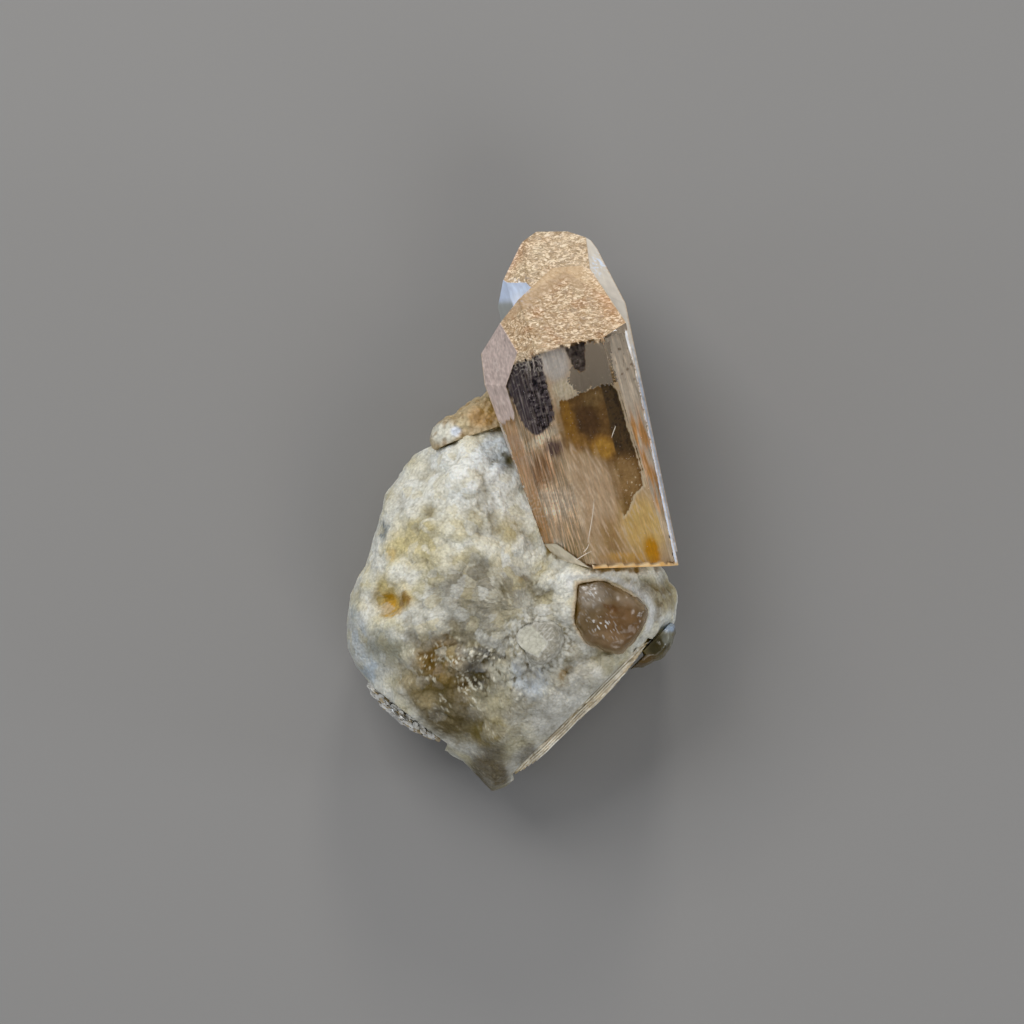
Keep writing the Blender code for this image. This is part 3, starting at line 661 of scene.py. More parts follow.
rock_points, rock_spread = rock_surface()
rock_normals = grid_normals(rock_points, ROCK_COLUMNS)
rock_bumps, rock_rough, rock_glassy = rock_relief(rock_points, rock_spread)
rock_points = rock_points + rock_normals * rock_bumps[:, None]
rock_tones = rock_tone(rock_points, rock_bumps, rock_rough)
smoky_reach = outline_reach(rock_points, SMOKY_OUTLINE, SMOKY_MIDDLE)
smoky_rim = rise(smoky_reach, 0.97, 1.02) * (1 - rise(smoky_reach, 1.08, 1.25))
smoky_rim *= rise(rock_points[:, 0] * 0.6 + rock_points[:, 1] + 3.9, -1.5, 0.8)
rock_tones = stain(rock_tones, 0.9 * smoky_rim, (216, 215, 210))
rock_tones = stain(rock_tones, 1 - rise(smoky_reach, 0.9, 1.0), (196, 178, 150))
clear_round = outline_reach(rock_points, CLEAR_OUTLINE, CLEAR_MIDDLE)
clear_ring = rise(clear_round, 0.85, 0.95) * (1 - rise(clear_round, 1.15, 1.8))
clear_ring *= rise(slope_noise(rock_points * (1.0, 1.0, 0.3), 0.35, 43), -0.2, 0.3)
rock_tones = stain(rock_tones, 0.85 * clear_ring, (198, 196, 186))
crust_line = CRUST_PLACE + 0.3 * slope_noise(rock_points * (1, 0, 0), 1.3, 45)
crust = np.exp(-(((rock_points[:, 1] - crust_line) / CRUST_HALF_WIDTH) ** 2))
crust *= rise(rock_points[:, 0], 5.2, 6.8) * (1 - rise(rock_points[:, 0], 14.4, 15.6))
rock_points[:, 2] += crust * (CRUST_HEIGHT + 0.7 * slope_noise(rock_points, 0.8, 46))
rock_tones = stain(rock_tones, 0.9 * crust, (218, 212, 196))
for outline, middle, low in (
    (SMOKY_OUTLINE, SMOKY_MIDDLE, SMOKY_POCKET), (CLEAR_OUTLINE, CLEAR_MIDDLE, CLEAR_POCKET)
):
    within = 1 - rise(outline_reach(rock_points, outline, middle), 0.76, 0.90)
    rock_points[:, 2] -= within * np.maximum(rock_points[:, 2] - low, 0)
for seat in ("topaz_crystals", "quartz_knob"):
    seat_height = first_hit(rock_points, solid_corners(seat), 2) - SEAT_GAP
    rock_points[:, 2] = np.minimum(rock_points[:, 2], np.maximum(seat_height, LOWEST_SEAT))
beside_blade = place_along(rock_points, BLADE_LINE)
beside_blade = (beside_blade > BLADE_NOTCH[0]) & (beside_blade < BLADE_NOTCH[1])
beside_flakes = place_along(rock_points, FLAKES_LINE)
beside_flakes = (beside_flakes > FLAKES_NOTCH[0]) & (beside_flakes < FLAKES_NOTCH[1])
nub_wall = through(NUB_PLANE, (*ROCK_MIDDLE, 10))
rock_points = flatten(rock_points, moved(nub_wall, NUB_GAP))
rock_points = flatten(rock_points, moved(upright(BLADE_LINE), BLADE_GAP), beside_blade)
rock_points = flatten(rock_points, moved(upright(FLAKES_LINE), FLAKES_GAP), beside_flakes)
rock_points[:, 2] = np.maximum(rock_points[:, 2], 0)
rock_points, rock_faces = close_lump(rock_points, ROCK_COLUMNS)
rock_tones = np.vstack((rock_tones, rock_tones[0], rock_tones[-1]))
rock_gloss = np.append(np.maximum(0.7 * rock_glassy, 0.25 * rock_rough), (0, 0))
rock = mesh_object("feldspar_rock", rock_points, rock_faces, rock_tones, rock_gloss)
rock.data.materials.append(
    toned_material(
        "sugary_feldspar", grain_group, 3400.0, 0.42, 0.11, 0.66, 0.22, IOR=1.53,
        Subsurface_Weight=0.15, Subsurface_Radius=(1.0, 0.8, 0.6), Subsurface_Scale=0.0004,
    )
)
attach(rock, "root")
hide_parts("matrix")

# The quartz and the clear grain
# Four grains that grew in the rock: a brown smoky quartz under the crystals' foot,
# a grey-green glassy knob outside the mica, a clear feldspar grain with a bright
# flat cleavage face, and an iron-stained amber nub at the upper left.

GRAIN_COLUMNS = 200
GRAIN_FRONT_RINGS = 70
GRAIN_BACK_RINGS = 24
KNOB_MIDDLE = np.array((14.0, -13.4))
KNOB_OUTLINE = np.array(
    (
        (16.45, -11.2), (16.62, -12.3), (16.35, -13.2), (15.6, -14.3), (14.2, -15.2),
        (12.6, -15.7), (11.6, -15.9), (11.4, -15.0), (13.2, -12.4), (15.0, -10.9),
    )
)
# How far out of the blade's line the knob begins, low on the blade and elsewhere.
KNOB_OUT = 1.3
KNOB_OUT_HIGH = 0.8
# How far out of their walls the nub and the flakes begin, and the nub's gap to the topaz.
NUB_OUT = -0.3
FLAKES_OUT = 0.05
TOPAZ_GAP = 0.03
# The lowest and the highest level of each grain.
SMOKY_LEVELS = (14.6, 20.0)
KNOB_LEVELS = (5.6, 14.8)
CLEAR_LEVELS = (15.4, 19.6)
NUB_LEVELS = (5.2, 13.8)
# Stains of the grains, and a painted highlight on the knob: (x, y, half width, half height, turn,
# strength, colour).
SMOKY_STAINS = (
    (7.4, -7.9, 2.2, 1.6, -20, 0.8, (166, 154, 138)),
    (11.6, -8.6, 1.6, 0.9, -30, 0.6, (164, 148, 128)),
    (11.0, -11.2, 2.2, 2.2, 0, 0.7, (122, 94, 68)),
    (9.2, -12.8, 2.4, 1.0, 0, 0.5, (146, 122, 96)),
    (9.8, -9.6, 0.9, 0.3, -25, 0.6, (104, 72, 44)),
)
KNOB_STAINS_AND_HIGHLIGHT = (
    (14.7, -13.4, 1.3, 0.9, 30, 0.8, (84, 77, 56)),
    (13.0, -15.0, 1.6, 0.5, 20, 0.7, (112, 88, 58)),
    # A painted highlight: the bluish white spot at the knob's upper right.
    (15.9, -11.6, 0.7, 0.5, 30, 0.9, (186, 204, 228)),
    (15.6, -12.6, 0.5, 0.9, 20, 0.5, (170, 172, 160)),
    (16.3, -13.3, 0.4, 0.9, 0, 0.6, (150, 150, 136)),
)
CLEAR_PLATE = (
    (0.85, -11.5), (1.95, -11.4), (3.55, -13.1), (2.55, -14.5), (0.85, -13.7), (0.15, -12.8),
)
CLEAVAGE = (np.array((2.0, -12.4, 19.2)), np.array((-0.12, 0.16, 0.98)))
NUB_MIDDLE = np.array((-3.6, 8.4))
NUB_OUTLINE = np.array(
    (
        (0.2, 8.2), (-0.6, 10.8), (-2.3, 12.35), (-3.2, 11.5), (-4.8, 10.7), (-5.8, 9.7),
        (-7.9, 8.55), (-8.25, 7.3), (-7.6, 5.6), (-3.6, 5.6),
    )
)


def turned_round(plane, step):
    """A plane moved outward by a step, but facing the other way."""
    return plane[0] + plane[1] * step, -plane[1]


def edge_distance(places, starts, ends):
    """How far each place in a plane is from the nearest of the edges."""
    way = ends - starts
    length = np.maximum((way**2).sum(axis=1), 1e-12)
    nearest = np.full(len(places), np.inf)
    for start, step, size in zip(starts, way, length):
        offset = places - start
        share = np.clip(offset @ step / size, 0, 1)
        nearest = np.minimum(nearest, np.hypot(*(offset - share[:, None] * step).T))
    return nearest


def inside_edges(places, starts, ends):
    """Whether each place in a plane lies inside the edges: its line to the right
    crosses them an odd number of times."""
    crossings = np.zeros(len(places), int)
    for (x0, y0), (x1, y1) in zip(starts, ends):
        if y0 == y1:
            continue
        spans = (y0 > places[:, 1]) != (y1 > places[:, 1])
        crossings += spans & (places[:, 0] < x0 + (places[:, 1] - y0) * (x1 - x0) / (y1 - y0))
    return crossings % 2 == 1


def region(places, outline, soft):
    """1 inside an outline in the plan and 0 outside, with a soft edge."""
    starts = np.array(outline)
    ends = np.roll(starts, -1, axis=0)
    gap = edge_distance(places, starts, ends)
    signed = np.where(inside_edges(places, starts, ends), gap, -gap)
    return rise(signed, -soft, soft)


def grown_grain(outline, middle, low, high, relief):
    """Rings from the top over the waist to the underside: each ring's radius is its
    share r of the outline's own, its height falls as (1 - r^5.7)^0.4 from the top, and
    the relief pushes along the normals."""
    angle, share, in_front = lump_grid(GRAIN_FRONT_RINGS, GRAIN_BACK_RINGS, GRAIN_COLUMNS)
    reach = np.hypot(*(outline - middle).T)
    radius = ring_value(angle, outline, middle, reach) * share
    lift = np.maximum(1 - share**5.7, 0) ** 0.4 * (high - low) / 2
    points = np.stack(
        (
            middle[0] + radius * np.cos(angle), middle[1] + radius * np.sin(angle),
            (low + high) / 2 + np.where(in_front, lift, -lift),
        ),
        axis=1,
    )
    return points + grid_normals(points, GRAIN_COLUMNS) * relief(points)[:, None]


def finish_lump(name, points, columns, tone=None, gloss=0.0):
    """Closes a lump's two ends and makes it an object with its colours."""
    closed, faces = close_lump(points, columns)
    if tone is not None:
        tone = np.vstack((tone, tone[:1], tone[-1:]))
    return mesh_object(name, closed, faces, tone, gloss)


def shelly(points, size, height, seed):
    """Shell-shaped fracture: the shallow hollows left round random seeds, with a
    sharp crest between them, and a little waviness."""
    near = cell_noise(points, size, seed)[0]
    return height * (near**2 - 0.45) + height * 0.35 * slope_noise(points, size / 3, seed + 1)


def spotted(points, colour, stains, size):
    """One colour clouded by noise, then the stains and painted highlights of a table, each frayed a
    little.
    """
    tone = plain(points, colour) * (1 + 0.2 * slope_noise(points, size, 63))[:, None]
    return stained(tone, points + 0.2 * slope_noise(points, 0.7, 64)[:, None], stains)


smoky_points = grown_grain(
    SMOKY_OUTLINE, SMOKY_MIDDLE, *SMOKY_LEVELS, lambda p: shelly(p, 2.2, 0.3, 51) - 0.12
)
smoky_tone = spotted(smoky_points, (122, 104, 80), SMOKY_STAINS, 0.9)
smoky_edge = rise(outline_reach(smoky_points, SMOKY_OUTLINE, SMOKY_MIDDLE), 0.78, 0.96)
smoky_tone = stain(smoky_tone, 0.7 * smoky_edge, (176, 158, 132))
# Painted highlights: short white strokes where light catches the fracture surface.
smoky_glint_paint = rise(slope_noise(smoky_points @ turned(35) * (1, 0.28, 1), 0.16, 62), 0.34, 0.5)
smoky_glint_paint *= np.clip(
    blob(smoky_points, 8.9, -11.3, 1.5, 0.9, -30)
    + blob(smoky_points, 7.6, -7.9, 1.5, 1.0, -20), 0, 1,
)
smoky_tone = stain(smoky_tone, smoky_glint_paint, (232, 230, 226))
smoky = finish_lump("smoky_quartz_grain", smoky_points, GRAIN_COLUMNS, smoky_tone, 0.8)
smoky.data.materials.append(
    toned_material(
        "smoky_quartz", grain_group, 1500.0, 0.3, 0.05, 0.5, 0.16,
        IOR=1.544, Transmission_Weight=0.3,
    )
)
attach(smoky, "root")
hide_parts("smoky_quartz")

knob_points = grown_grain(
    KNOB_OUTLINE, KNOB_MIDDLE, *KNOB_LEVELS, lambda p: shelly(p, 2.6, 0.34, 52) - 0.15
)
knob_wall = upright(BLADE_LINE)
knob_low = place_along(knob_points, BLADE_LINE) > 1.2
for out, where in ((KNOB_OUT, knob_low), (KNOB_OUT_HIGH, 1.0)):
    knob_points = flatten(knob_points, turned_round(knob_wall, out), where)
knob_tone = spotted(knob_points, (134, 126, 104), KNOB_STAINS_AND_HIGHLIGHT, 0.5)
knob = finish_lump("glassy_quartz_knob", knob_points, GRAIN_COLUMNS, knob_tone, 0.8)
knob.data.materials.append(
    toned_material(
        "grey_green_quartz", grain_group, 1500.0, 0.3, 0.05, 0.5, 0.14,
        IOR=1.544, Transmission_Weight=0.35,
    )
)
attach(knob, "root")
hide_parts("quartz_knob")

clear_points = grown_grain(
    CLEAR_OUTLINE, CLEAR_MIDDLE, *CLEAR_LEVELS,
    lambda p: 0.12 * slope_noise(p, 0.9, 53) + 0.06 * slope_noise(p, 0.4, 54),
)
clear_points = flatten(clear_points, CLEAVAGE)
clear_tone = spotted(clear_points, (158, 153, 138), (), 0.5)
clear_reach = outline_reach(clear_points, CLEAR_OUTLINE, CLEAR_MIDDLE)
clear_ray = rise(slope_noise(clear_points @ turned(-40) * (1, 0.3, 1), 0.2, 55), 0.1, 0.5)
clear_tone = stain(clear_tone, 0.6 * clear_ray, (196, 193, 182))
clear_crack = 1 - rise(cell_noise(clear_points * (1, 1, 0.3), 0.9, 55)[1], 0.02, 0.09)
clear_tone = stain(clear_tone, 0.25 * clear_crack, (212, 210, 202))
plate_starts = np.array(CLEAR_PLATE)
plate_gap = edge_distance(clear_points[:, :2], plate_starts, np.roll(plate_starts, -1, axis=0))
on_plate = region(clear_points[:, :2], CLEAR_PLATE, 0.15)
clear_tone = stain(clear_tone, 0.9 * on_plate, (198, 195, 178))
plate_lit = rise(clear_points[:, 0] - clear_points[:, 1], 14.5, 16)
plate_lit *= 1 - rise(plate_gap, 0.03, 0.1)
clear_tone = stain(clear_tone, 0.4 * plate_lit, (216, 215, 208))
clear_tone = stain(clear_tone, 0.9 * rise(clear_reach, 0.75, 0.95), (192, 189, 178))
clear = finish_lump("clear_feldspar_grain", clear_points, GRAIN_COLUMNS, clear_tone, 1.0)
clear.data.materials.append(
    toned_material(
        "cleaved_feldspar", grain_group, 3000.0, 0.5, 0.03, 0.5, 0.25,
        IOR=1.53, Transmission_Weight=0.25,
    )
)
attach(clear, "root")
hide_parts("clear_grain")

NUB_STAINS = (
    (-7.0, 8.0, 1.5, 1.2, 0, 0.9, (205, 203, 190)),
    (-5.7, 8.1, 0.55, 0.5, 0, 0.95, (208, 214, 224)),
    (-4.9, 9.0, 0.7, 0.6, 0, 0.6, (182, 170, 138)),
    (-3.0, 9.6, 1.5, 1.1, 0, 0.8, (172, 136, 88)),
    (-2.4, 10.6, 0.9, 0.8, 0, 0.6, (184, 156, 108)),
    (-1.6, 11.6, 0.8, 0.7, 0, 0.6, (190, 180, 150)),
)
topaz_solid = solid_corners("topaz_crystals")
nub_points = grown_grain(
    NUB_OUTLINE, NUB_MIDDLE, *NUB_LEVELS,
    lambda p: 0.22 * np.abs(slope_noise(p, 1.4, 56)) + 0.12 * slope_noise(p, 0.6, 57)
    + shelly(p, 1.8, 0.15, 58),
)
nub_points = flatten(nub_points, turned_round(nub_wall, NUB_OUT))
nub_end = first_hit(nub_points, topaz_solid, 0) - TOPAZ_GAP
nub_points[:, 0] = np.minimum(nub_points[:, 0], nub_end)
nub_tone = stained(plain(nub_points, (178, 160, 128)), nub_points, NUB_STAINS)
nub_dark = 0.6 * rise(slope_noise(nub_points, 0.8, 59), 0.1, 0.5)
nub_tone = stain(nub_tone, nub_dark, (138, 112, 76))
nub = finish_lump("amber_nub", nub_points, GRAIN_COLUMNS, nub_tone, 0.6)
nub.data.materials.append(
    toned_material("stained_quartz", grain_group, 2600.0, 0.6, 0.12, 0.6, 0.25, IOR=1.54)
)
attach(nub, "root")
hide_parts("stained_nub")

# The mica blade
# A book of thin mica leaves that stands on edge along the lower right side of the
# rock. Each leaf ends at its own ragged edge, and rust has crept between some.

# Each leaf: (start, end, distance out, thickness, how much lower its top is, colour).
BLADE_LEAVES = (
    (-0.4, 19.3, 0.26, 0.17, 0.12, (214, 204, 182)),
    (0.2, 18.9, 0.39, 0.13, 0.05, (236, 230, 214)),
    (-0.2, 19.1, 0.50, 0.12, 0.14, (196, 178, 142)),
    (0.4, 18.5, 0.61, 0.13, 0.00, (234, 226, 206)),
    (1.0, 18.2, 0.72, 0.12, 0.12, (208, 190, 156)),
    (1.8, 17.6, 0.83, 0.13, 0.05, (230, 222, 202)),
    (2.6, 17.1, 0.94, 0.12, 0.16, (206, 190, 158)),
    (3.5, 16.6, 1.05, 0.12, 0.10, (236, 230, 216)),
    (4.6, 10.6, 1.14, 0.10, 0.25, (216, 202, 174)),
    (5.4, 9.2, 1.22, 0.08, 0.40, (224, 216, 198)),
)
BLADE_ALONG = 190
BLADE_ROUND = 26


def blade_edges(s):
    """The blade's top and bottom height at each place along it, straight between
    corners, with the corners at both ends cut off."""
    top = np.interp(s, (-0.4, 1.6, 15.2, 19.5), (14.2, 16.8, 13.4, 8.2))
    low = np.interp(s, (-0.4, 3.2, 15.0, 19.5), (6.2, 1.7, 2.6, 6.2))
    return top, low


def mica_leaf(start, end, out, thickness, drop, seed):
    """A thin band whose section, up one face, over the top edge, down the other and
    under, is carried along the blade between its ragged edges."""
    s = np.linspace(start, end, BLADE_ALONG)
    around = np.linspace(0, 2 * math.pi, BLADE_ROUND, endpoint=False)
    s, around = (v.ravel() for v in np.meshgrid(s, around, indexing="ij"))
    line = np.stack((s, np.full_like(s, seed * 7.0), np.zeros_like(s)), axis=1)
    top, low = blade_edges(s)
    ragged = 0.22 * slope_noise(line, 1.3, seed) + 0.12 * slope_noise(line, 0.4, seed + 1)
    steps = 0.25 * np.floor(2.5 * slope_noise(line, 3.0, seed + 2)) / 2.5
    top = top - drop - np.abs(ragged) - np.abs(steps)
    low = low + 0.4 + 0.4 * np.abs(slope_noise(line, 1.1, seed + 3))
    ends = np.sqrt(np.clip(np.minimum(s - start, end - s) / 0.5, 0, 1))
    middle, half = (top + low) / 2, (top - low) / 2 * (0.55 + 0.45 * ends)
    up = np.clip(1.35 * np.sin(around), -1, 1)
    side = np.clip(2.2 * np.cos(around), -1, 1)
    z = middle + half * up
    wave = 0.07 * slope_noise(np.stack((s, z, np.zeros_like(s)), axis=1), 2.6, 77)
    depth = out + wave + thickness / 2 * side
    outward = upright(BLADE_LINE)[1]
    points = s[:, None] * line_way(BLADE_LINE) + depth[:, None] * outward
    points += (*BLADE_LINE[0], 0.0)
    points[:, 2] = z
    return points, s


def joined(parts):
    """Closed shapes as one mesh: all their points, and faces with shifted corners."""
    starts = np.cumsum([0] + [len(points) for points, faces in parts]).tolist()
    shifted = [
        [corner + start for corner in face]
        for (points, faces), start in zip(parts, starts) for face in faces
    ]
    return np.vstack([points for points, faces in parts]), shifted


leaf_parts, leaf_tones = [], []
for number, (*leaf, colour) in enumerate(BLADE_LEAVES):
    points, s = mica_leaf(*leaf, 100 + 5 * number)
    tone = plain(points, colour)
    streaks = np.stack((s * 0.35, points[:, 2] * 1.8, np.full_like(s, number)), axis=1)
    tone = stain(tone, 0.45 * rise(slope_noise(streaks, 0.9, 60), 0.1, 0.5), (168, 138, 92))
    tone = stain(tone, 0.6 * rise(slope_noise(streaks, 0.7, 61), 0.1, 0.5), (244, 240, 228))
    leaf_parts.append(close_lump(points, BLADE_ROUND))
    leaf_tones.append(np.vstack((tone, tone[:1], tone[-1:])))
blade = mesh_object("mica_blade_leaves", *joined(leaf_parts), np.vstack(leaf_tones), 0.7)
blade.data.set_sharp_from_angle(angle=math.radians(40))
blade.data.materials.append(
    toned_material(
        "layered_mica", grain_group, 1800.0, 0.4, 0.03, 0.55, 0.3, IOR=1.58, Coat_Weight=0.3
    )
)
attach(blade, "root")
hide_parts("mica_blade")

# The mica flakes
# A sparkling crust of small clear mica plates, six-sided or broken, grown one on
# the other along the lower left edge of the rock, nearly parallel to that edge.

FLAKE_COUNT = 2600
FLAKE_SIDES = 7
# The crust's middle and half sizes, along its line and upwards.
FLAKE_MIDDLE = (4.9, 7.9)
FLAKE_HALVES = (4.6, 2.7)


def flake_crust():
    """Plates of random size and lean, thick on a line that bulges in the middle: each
    is a ring of corners at two levels, closed by a fan on either face."""
    draw = np.random.default_rng(7)
    outward = upright(FLAKES_LINE)[1]
    way = line_way(FLAKES_LINE)
    up = np.array((0.0, 0.0, 1.0))
    s = draw.uniform(0.5, 9.3, FLAKE_COUNT)
    height = draw.uniform(5.2, 10.6, FLAKE_COUNT)
    off_s, off_z = s - FLAKE_MIDDLE[0], height - FLAKE_MIDDLE[1]
    edge = (np.abs(off_s) / FLAKE_HALVES[0]) ** 3 + (np.abs(off_z) / FLAKE_HALVES[1]) ** 3
    pull = np.minimum(1, draw.uniform(0.8, 1.08, FLAKE_COUNT) / np.cbrt(edge))
    s, height = FLAKE_MIDDLE[0] + off_s * pull, FLAKE_MIDDLE[1] + off_z * pull
    bulge = np.sin(np.clip((s + 0.3) / 10.4, 0, 1) * math.pi) ** 0.7
    round_off = 1 - ((height - 7.6) / 3.6) ** 2 * 0.6
    out = 0.10 + 1.35 * bulge * round_off * draw.uniform(0.0, 1.0, FLAKE_COUNT)
    size = draw.uniform(0.12, 0.46, FLAKE_COUNT)
    thickness = draw.uniform(0.03, 0.08, FLAKE_COUNT)
    middle = np.array((*FLAKES_LINE[0], 0.0)) + s[:, None] * way + out[:, None] * outward
    middle[:, 2] = height
    normal = outward + draw.normal(scale=0.22, size=(FLAKE_COUNT, 3))
    normal += up * draw.normal(0.4, 0.5, FLAKE_COUNT)[:, None]
    normal = unit(normal)
    side = unit(np.cross(normal, up))
    other = np.cross(side, normal)
    turn = 2 * math.pi * (np.arange(FLAKE_SIDES) / FLAKE_SIDES + draw.random((FLAKE_COUNT, 1)))
    reach = size[:, None] * draw.uniform(0.75, 1.1, (FLAKE_COUNT, FLAKE_SIDES))
    flat = (np.cos(turn) * reach)[..., None] * side[:, None]
    flat = flat + (np.sin(turn) * reach)[..., None] * other[:, None]
    lift = (thickness[:, None] / 2 * normal)[:, None]
    rings = [
        np.concatenate((middle[:, None] + flat + step, middle[:, None] + step), axis=1)
        for step in (-lift, lift)
    ]
    points = np.concatenate(rings, axis=1)
    k = np.arange(FLAKE_SIDES)
    after = (k + 1) % FLAKE_SIDES
    wide = FLAKE_SIDES + 1
    walls = np.stack((k, wide + k, wide + after, after), axis=1)
    below = np.stack((np.full(FLAKE_SIDES, FLAKE_SIDES), k, after), axis=1)
    above = np.stack((np.full(FLAKE_SIDES, wide + FLAKE_SIDES), wide + after, wide + k), axis=1)
    each = walls.tolist() + below.tolist() + above.tolist()
    faces = [
        [corner + number * 2 * wide for corner in face]
        for number in range(FLAKE_COUNT) for face in each
    ]
    rusty = draw.random((FLAKE_COUNT, 1)) < 0.2
    tone = linear(206, 204, 198) * (0.55 + 0.7 * draw.random((FLAKE_COUNT, 1)))
    tone = np.where(rusty, linear(164, 150, 124), tone)
    return points.reshape(-1, 3), faces, np.repeat(tone, 2 * wide, axis=0)


flake_points, flake_faces, flake_tones = flake_crust()
flake_points = flatten(flake_points, turned_round(upright(FLAKES_LINE), FLAKES_OUT))
flakes = mesh_object("mica_flake_crust", flake_points, flake_faces, flake_tones, 0.9, smooth=False)
flakes.data.materials.append(
    toned_material(
        "clear_mica", grain_group, 1500.0, 0.3, 0.01, 0.5, 0.14, IOR=1.6, Coat_Weight=0.6
    )
)
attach(flakes, "root")
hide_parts("mica_flakes")

# The topaz crystals
# Two champagne topaz prisms, grown side by side as one clear solid. Their ends are
# frosted golden by growth hillocks, the upper left face has a pinkish coat, and the
# prism faces are finely grooved along their length. The foot is broken off.

FRONT_RIDGE = ((2.25, 16.2, 24.0), (7.95, -5.3, 21.6))
FRONT_RIGHT_EDGE = ((9.05, 17.4, 22.8), (15.55, -5.2, 20.25))
FRONT_RIM = ((11.55, 17.9, 21.4), (16.62, -5.5, 19.6))
FRONT_LEFT_EDGE = ((-0.65, 12.6, 19.75), (4.75, -4.4, 18.75))
FRONT_LEFT_CORNER = ((-2.35, 11.6, 15.6), (3.35, -3.7, 16.4))
REAR_RIDGE = ((2.95, 21.0, 16.3), (9.3, -3.7, 13.7))
REAR_RIGHT_EDGE = ((9.3, 21.0, 15.2), (15.0, -3.7, 12.7))
REAR_RIM = ((11.75, 19.2, 14.3), (16.75, -5.0, 11.8))
REAR_LEFT_EDGE = ((-0.05, 21.0, 13.2), (6.4, -3.7, 10.6))
REAR_LEFT_CORNER = ((-1.55, 21.0, 10.2), (4.85, -3.7, 7.6))
FRONT_INSIDE = (6.0, 8.0, 18.0)
REAR_INSIDE = (6.0, 12.0, 12.0)
m_right = through((*FRONT_RIDGE, FRONT_RIGHT_EDGE[0]), FRONT_INSIDE)
m_left = through((*FRONT_RIDGE, FRONT_LEFT_EDGE[0]), FRONT_INSIDE)
l_left = through((*FRONT_LEFT_EDGE, FRONT_LEFT_CORNER[0]), FRONT_INSIDE)
l_right = through((*FRONT_RIGHT_EDGE, FRONT_RIM[0]), FRONT_INSIDE)
gold_end = through((FRONT_RIDGE[0], FRONT_RIGHT_EDGE[0], (5.45, 24.6, 17.0)), FRONT_INSIDE)
gold_left_end = through((FRONT_RIDGE[0], (0.45, 15.5, 22.2), (-1.25, 18.9, 18.75)), FRONT_INSIDE)
pink_end = through(((0.45, 15.1, 22.0), (-0.65, 12.6, 19.75), (-3.15, 15.9, 14.95)), FRONT_INSIDE)
rear_m_left = through((*REAR_RIDGE, REAR_LEFT_EDGE[0]), REAR_INSIDE)
rear_m_right = through((*REAR_RIDGE, REAR_RIGHT_EDGE[0]), REAR_INSIDE)
rear_l_left = through((*REAR_LEFT_EDGE, REAR_LEFT_CORNER[0]), REAR_INSIDE)
rear_l_right = through((*REAR_RIGHT_EDGE, REAR_RIM[0]), REAR_INSIDE)
pale_end = through(((7.45, 27.3, 11.7), (7.75, 24.5, 14.0), (10.05, 24.7, 12.1)), REAR_INSIDE)
LONG_WAY = np.array(FRONT_RIDGE[0]) - np.array(FRONT_RIDGE[1])
LONG_WAY /= np.linalg.norm(LONG_WAY)
STEP_ALONG, STEP_ACROSS, STEP_END, STEP_RIM = 0.34, 0.085, 0.13, 0.16
# How far up the faces the grown-over foot reaches.
FOOT_BAND = 0.36


def solid_facets(solid):
    """The flat faces of a solid: merged corners, and for each plane its normal and the
    edges round its triangles. Slivers join the plane that holds their corners."""
    points, number = np.unique(
        np.round(solid.reshape(-1, 3), 4), axis=0, return_inverse=True
    )
    triangles = number.reshape(-1, 3)
    cross = np.cross(solid[:, 1] - solid[:, 0], solid[:, 2] - solid[:, 0])
    area = np.linalg.norm(cross, axis=1)
    facets = []
    free = np.ones(len(solid), bool)
    for index in np.argsort(-area):
        if not free[index] or area[index] < 1e-6:
            continue
        normal = cross[index] / area[index]
        off = np.abs((solid - solid[index, 0]) @ normal).max(axis=1)
        same = free & (off < 0.004) & ((cross @ normal) > -1e-6)
        free &= ~same
        edges = np.vstack([triangles[same][:, pair] for pair in ((0, 1), (1, 2), (2, 0))])
        facets.append((normal, edges[edges[:, 0] != edges[:, 1]]))
    return points, facets


def rim_edges(edges):
    """Those directed edges whose reverse isn't there too."""
    codes = edges[:, 0] * 100000 + edges[:, 1]
    back = edges[:, 1] * 100000 + edges[:, 0]
    return edges[~np.isin(codes, back)]


def cut_edge(a, b):
    """Points along an edge, the same ones whichever way it is walked."""
    swap = tuple(a) > tuple(b)
    start, end = (b, a) if swap else (a, b)
    count = max(1, int(np.ceil(np.linalg.norm(end - start) / STEP_RIM)))
    run = start + (end - start) * np.linspace(0, 1, count + 1)[:, None]
    return run[::-1] if swap else run


def gridded_facet(points, normal, edges):
    """One flat face as a fine mesh: its rim cut in short steps, and a grid inside it
    that runs along the crystal on prism faces and is square on the ends."""
    prism = abs(normal @ LONG_WAY) < 0.2
    along = LONG_WAY - (LONG_WAY @ normal) * normal
    if np.linalg.norm(along) < 0.1:
        along = np.array((1.0, 0.0, 0.0)) - normal[0] * normal
    along /= np.linalg.norm(along)
    across = np.cross(along, normal)
    axes = np.stack((across, along), axis=1)
    steps = (STEP_ACROSS, STEP_ALONG) if prism else (STEP_END, STEP_END)
    outer = rim_edges(edges)
    corner_a, corner_b = points[outer[:, 0]] @ axes, points[outer[:, 1]] @ axes
    low, high = corner_a.min(axis=0), corner_a.max(axis=0)
    rows = [np.arange(low[i] + steps[i] / 2, high[i], steps[i]) for i in range(2)]
    grid = np.stack([v.ravel() for v in np.meshgrid(*rows)], axis=1)
    grid = grid[inside_edges(grid, corner_a, corner_b)]
    gap = edge_distance(grid, corner_a, corner_b)
    grid, gap = grid[gap > 0.055], gap[gap > 0.055]
    runs = [cut_edge(points[a], points[b]) for a, b in outer]
    ends = np.round(np.vstack([np.hstack((run[:-1], run[1:])) for run in runs]), 5)
    rim, number = np.unique(ends.reshape(-1, 3), axis=0, return_inverse=True)
    constraints = number.reshape(-1, 2)
    flat = np.vstack((rim @ axes, grid))
    level = (rim @ normal).mean()
    every = np.vstack((rim, grid @ axes.T + level * normal))
    cells = delaunay_2d_cdt(
        [Vector(p) for p in flat.tolist()], constraints.tolist(), [], 1, 1e-7
    )
    source = np.array([origin[0] for origin in cells[3]])
    return every, source[np.array(cells[2])], np.concatenate((np.zeros(len(rim)), gap))


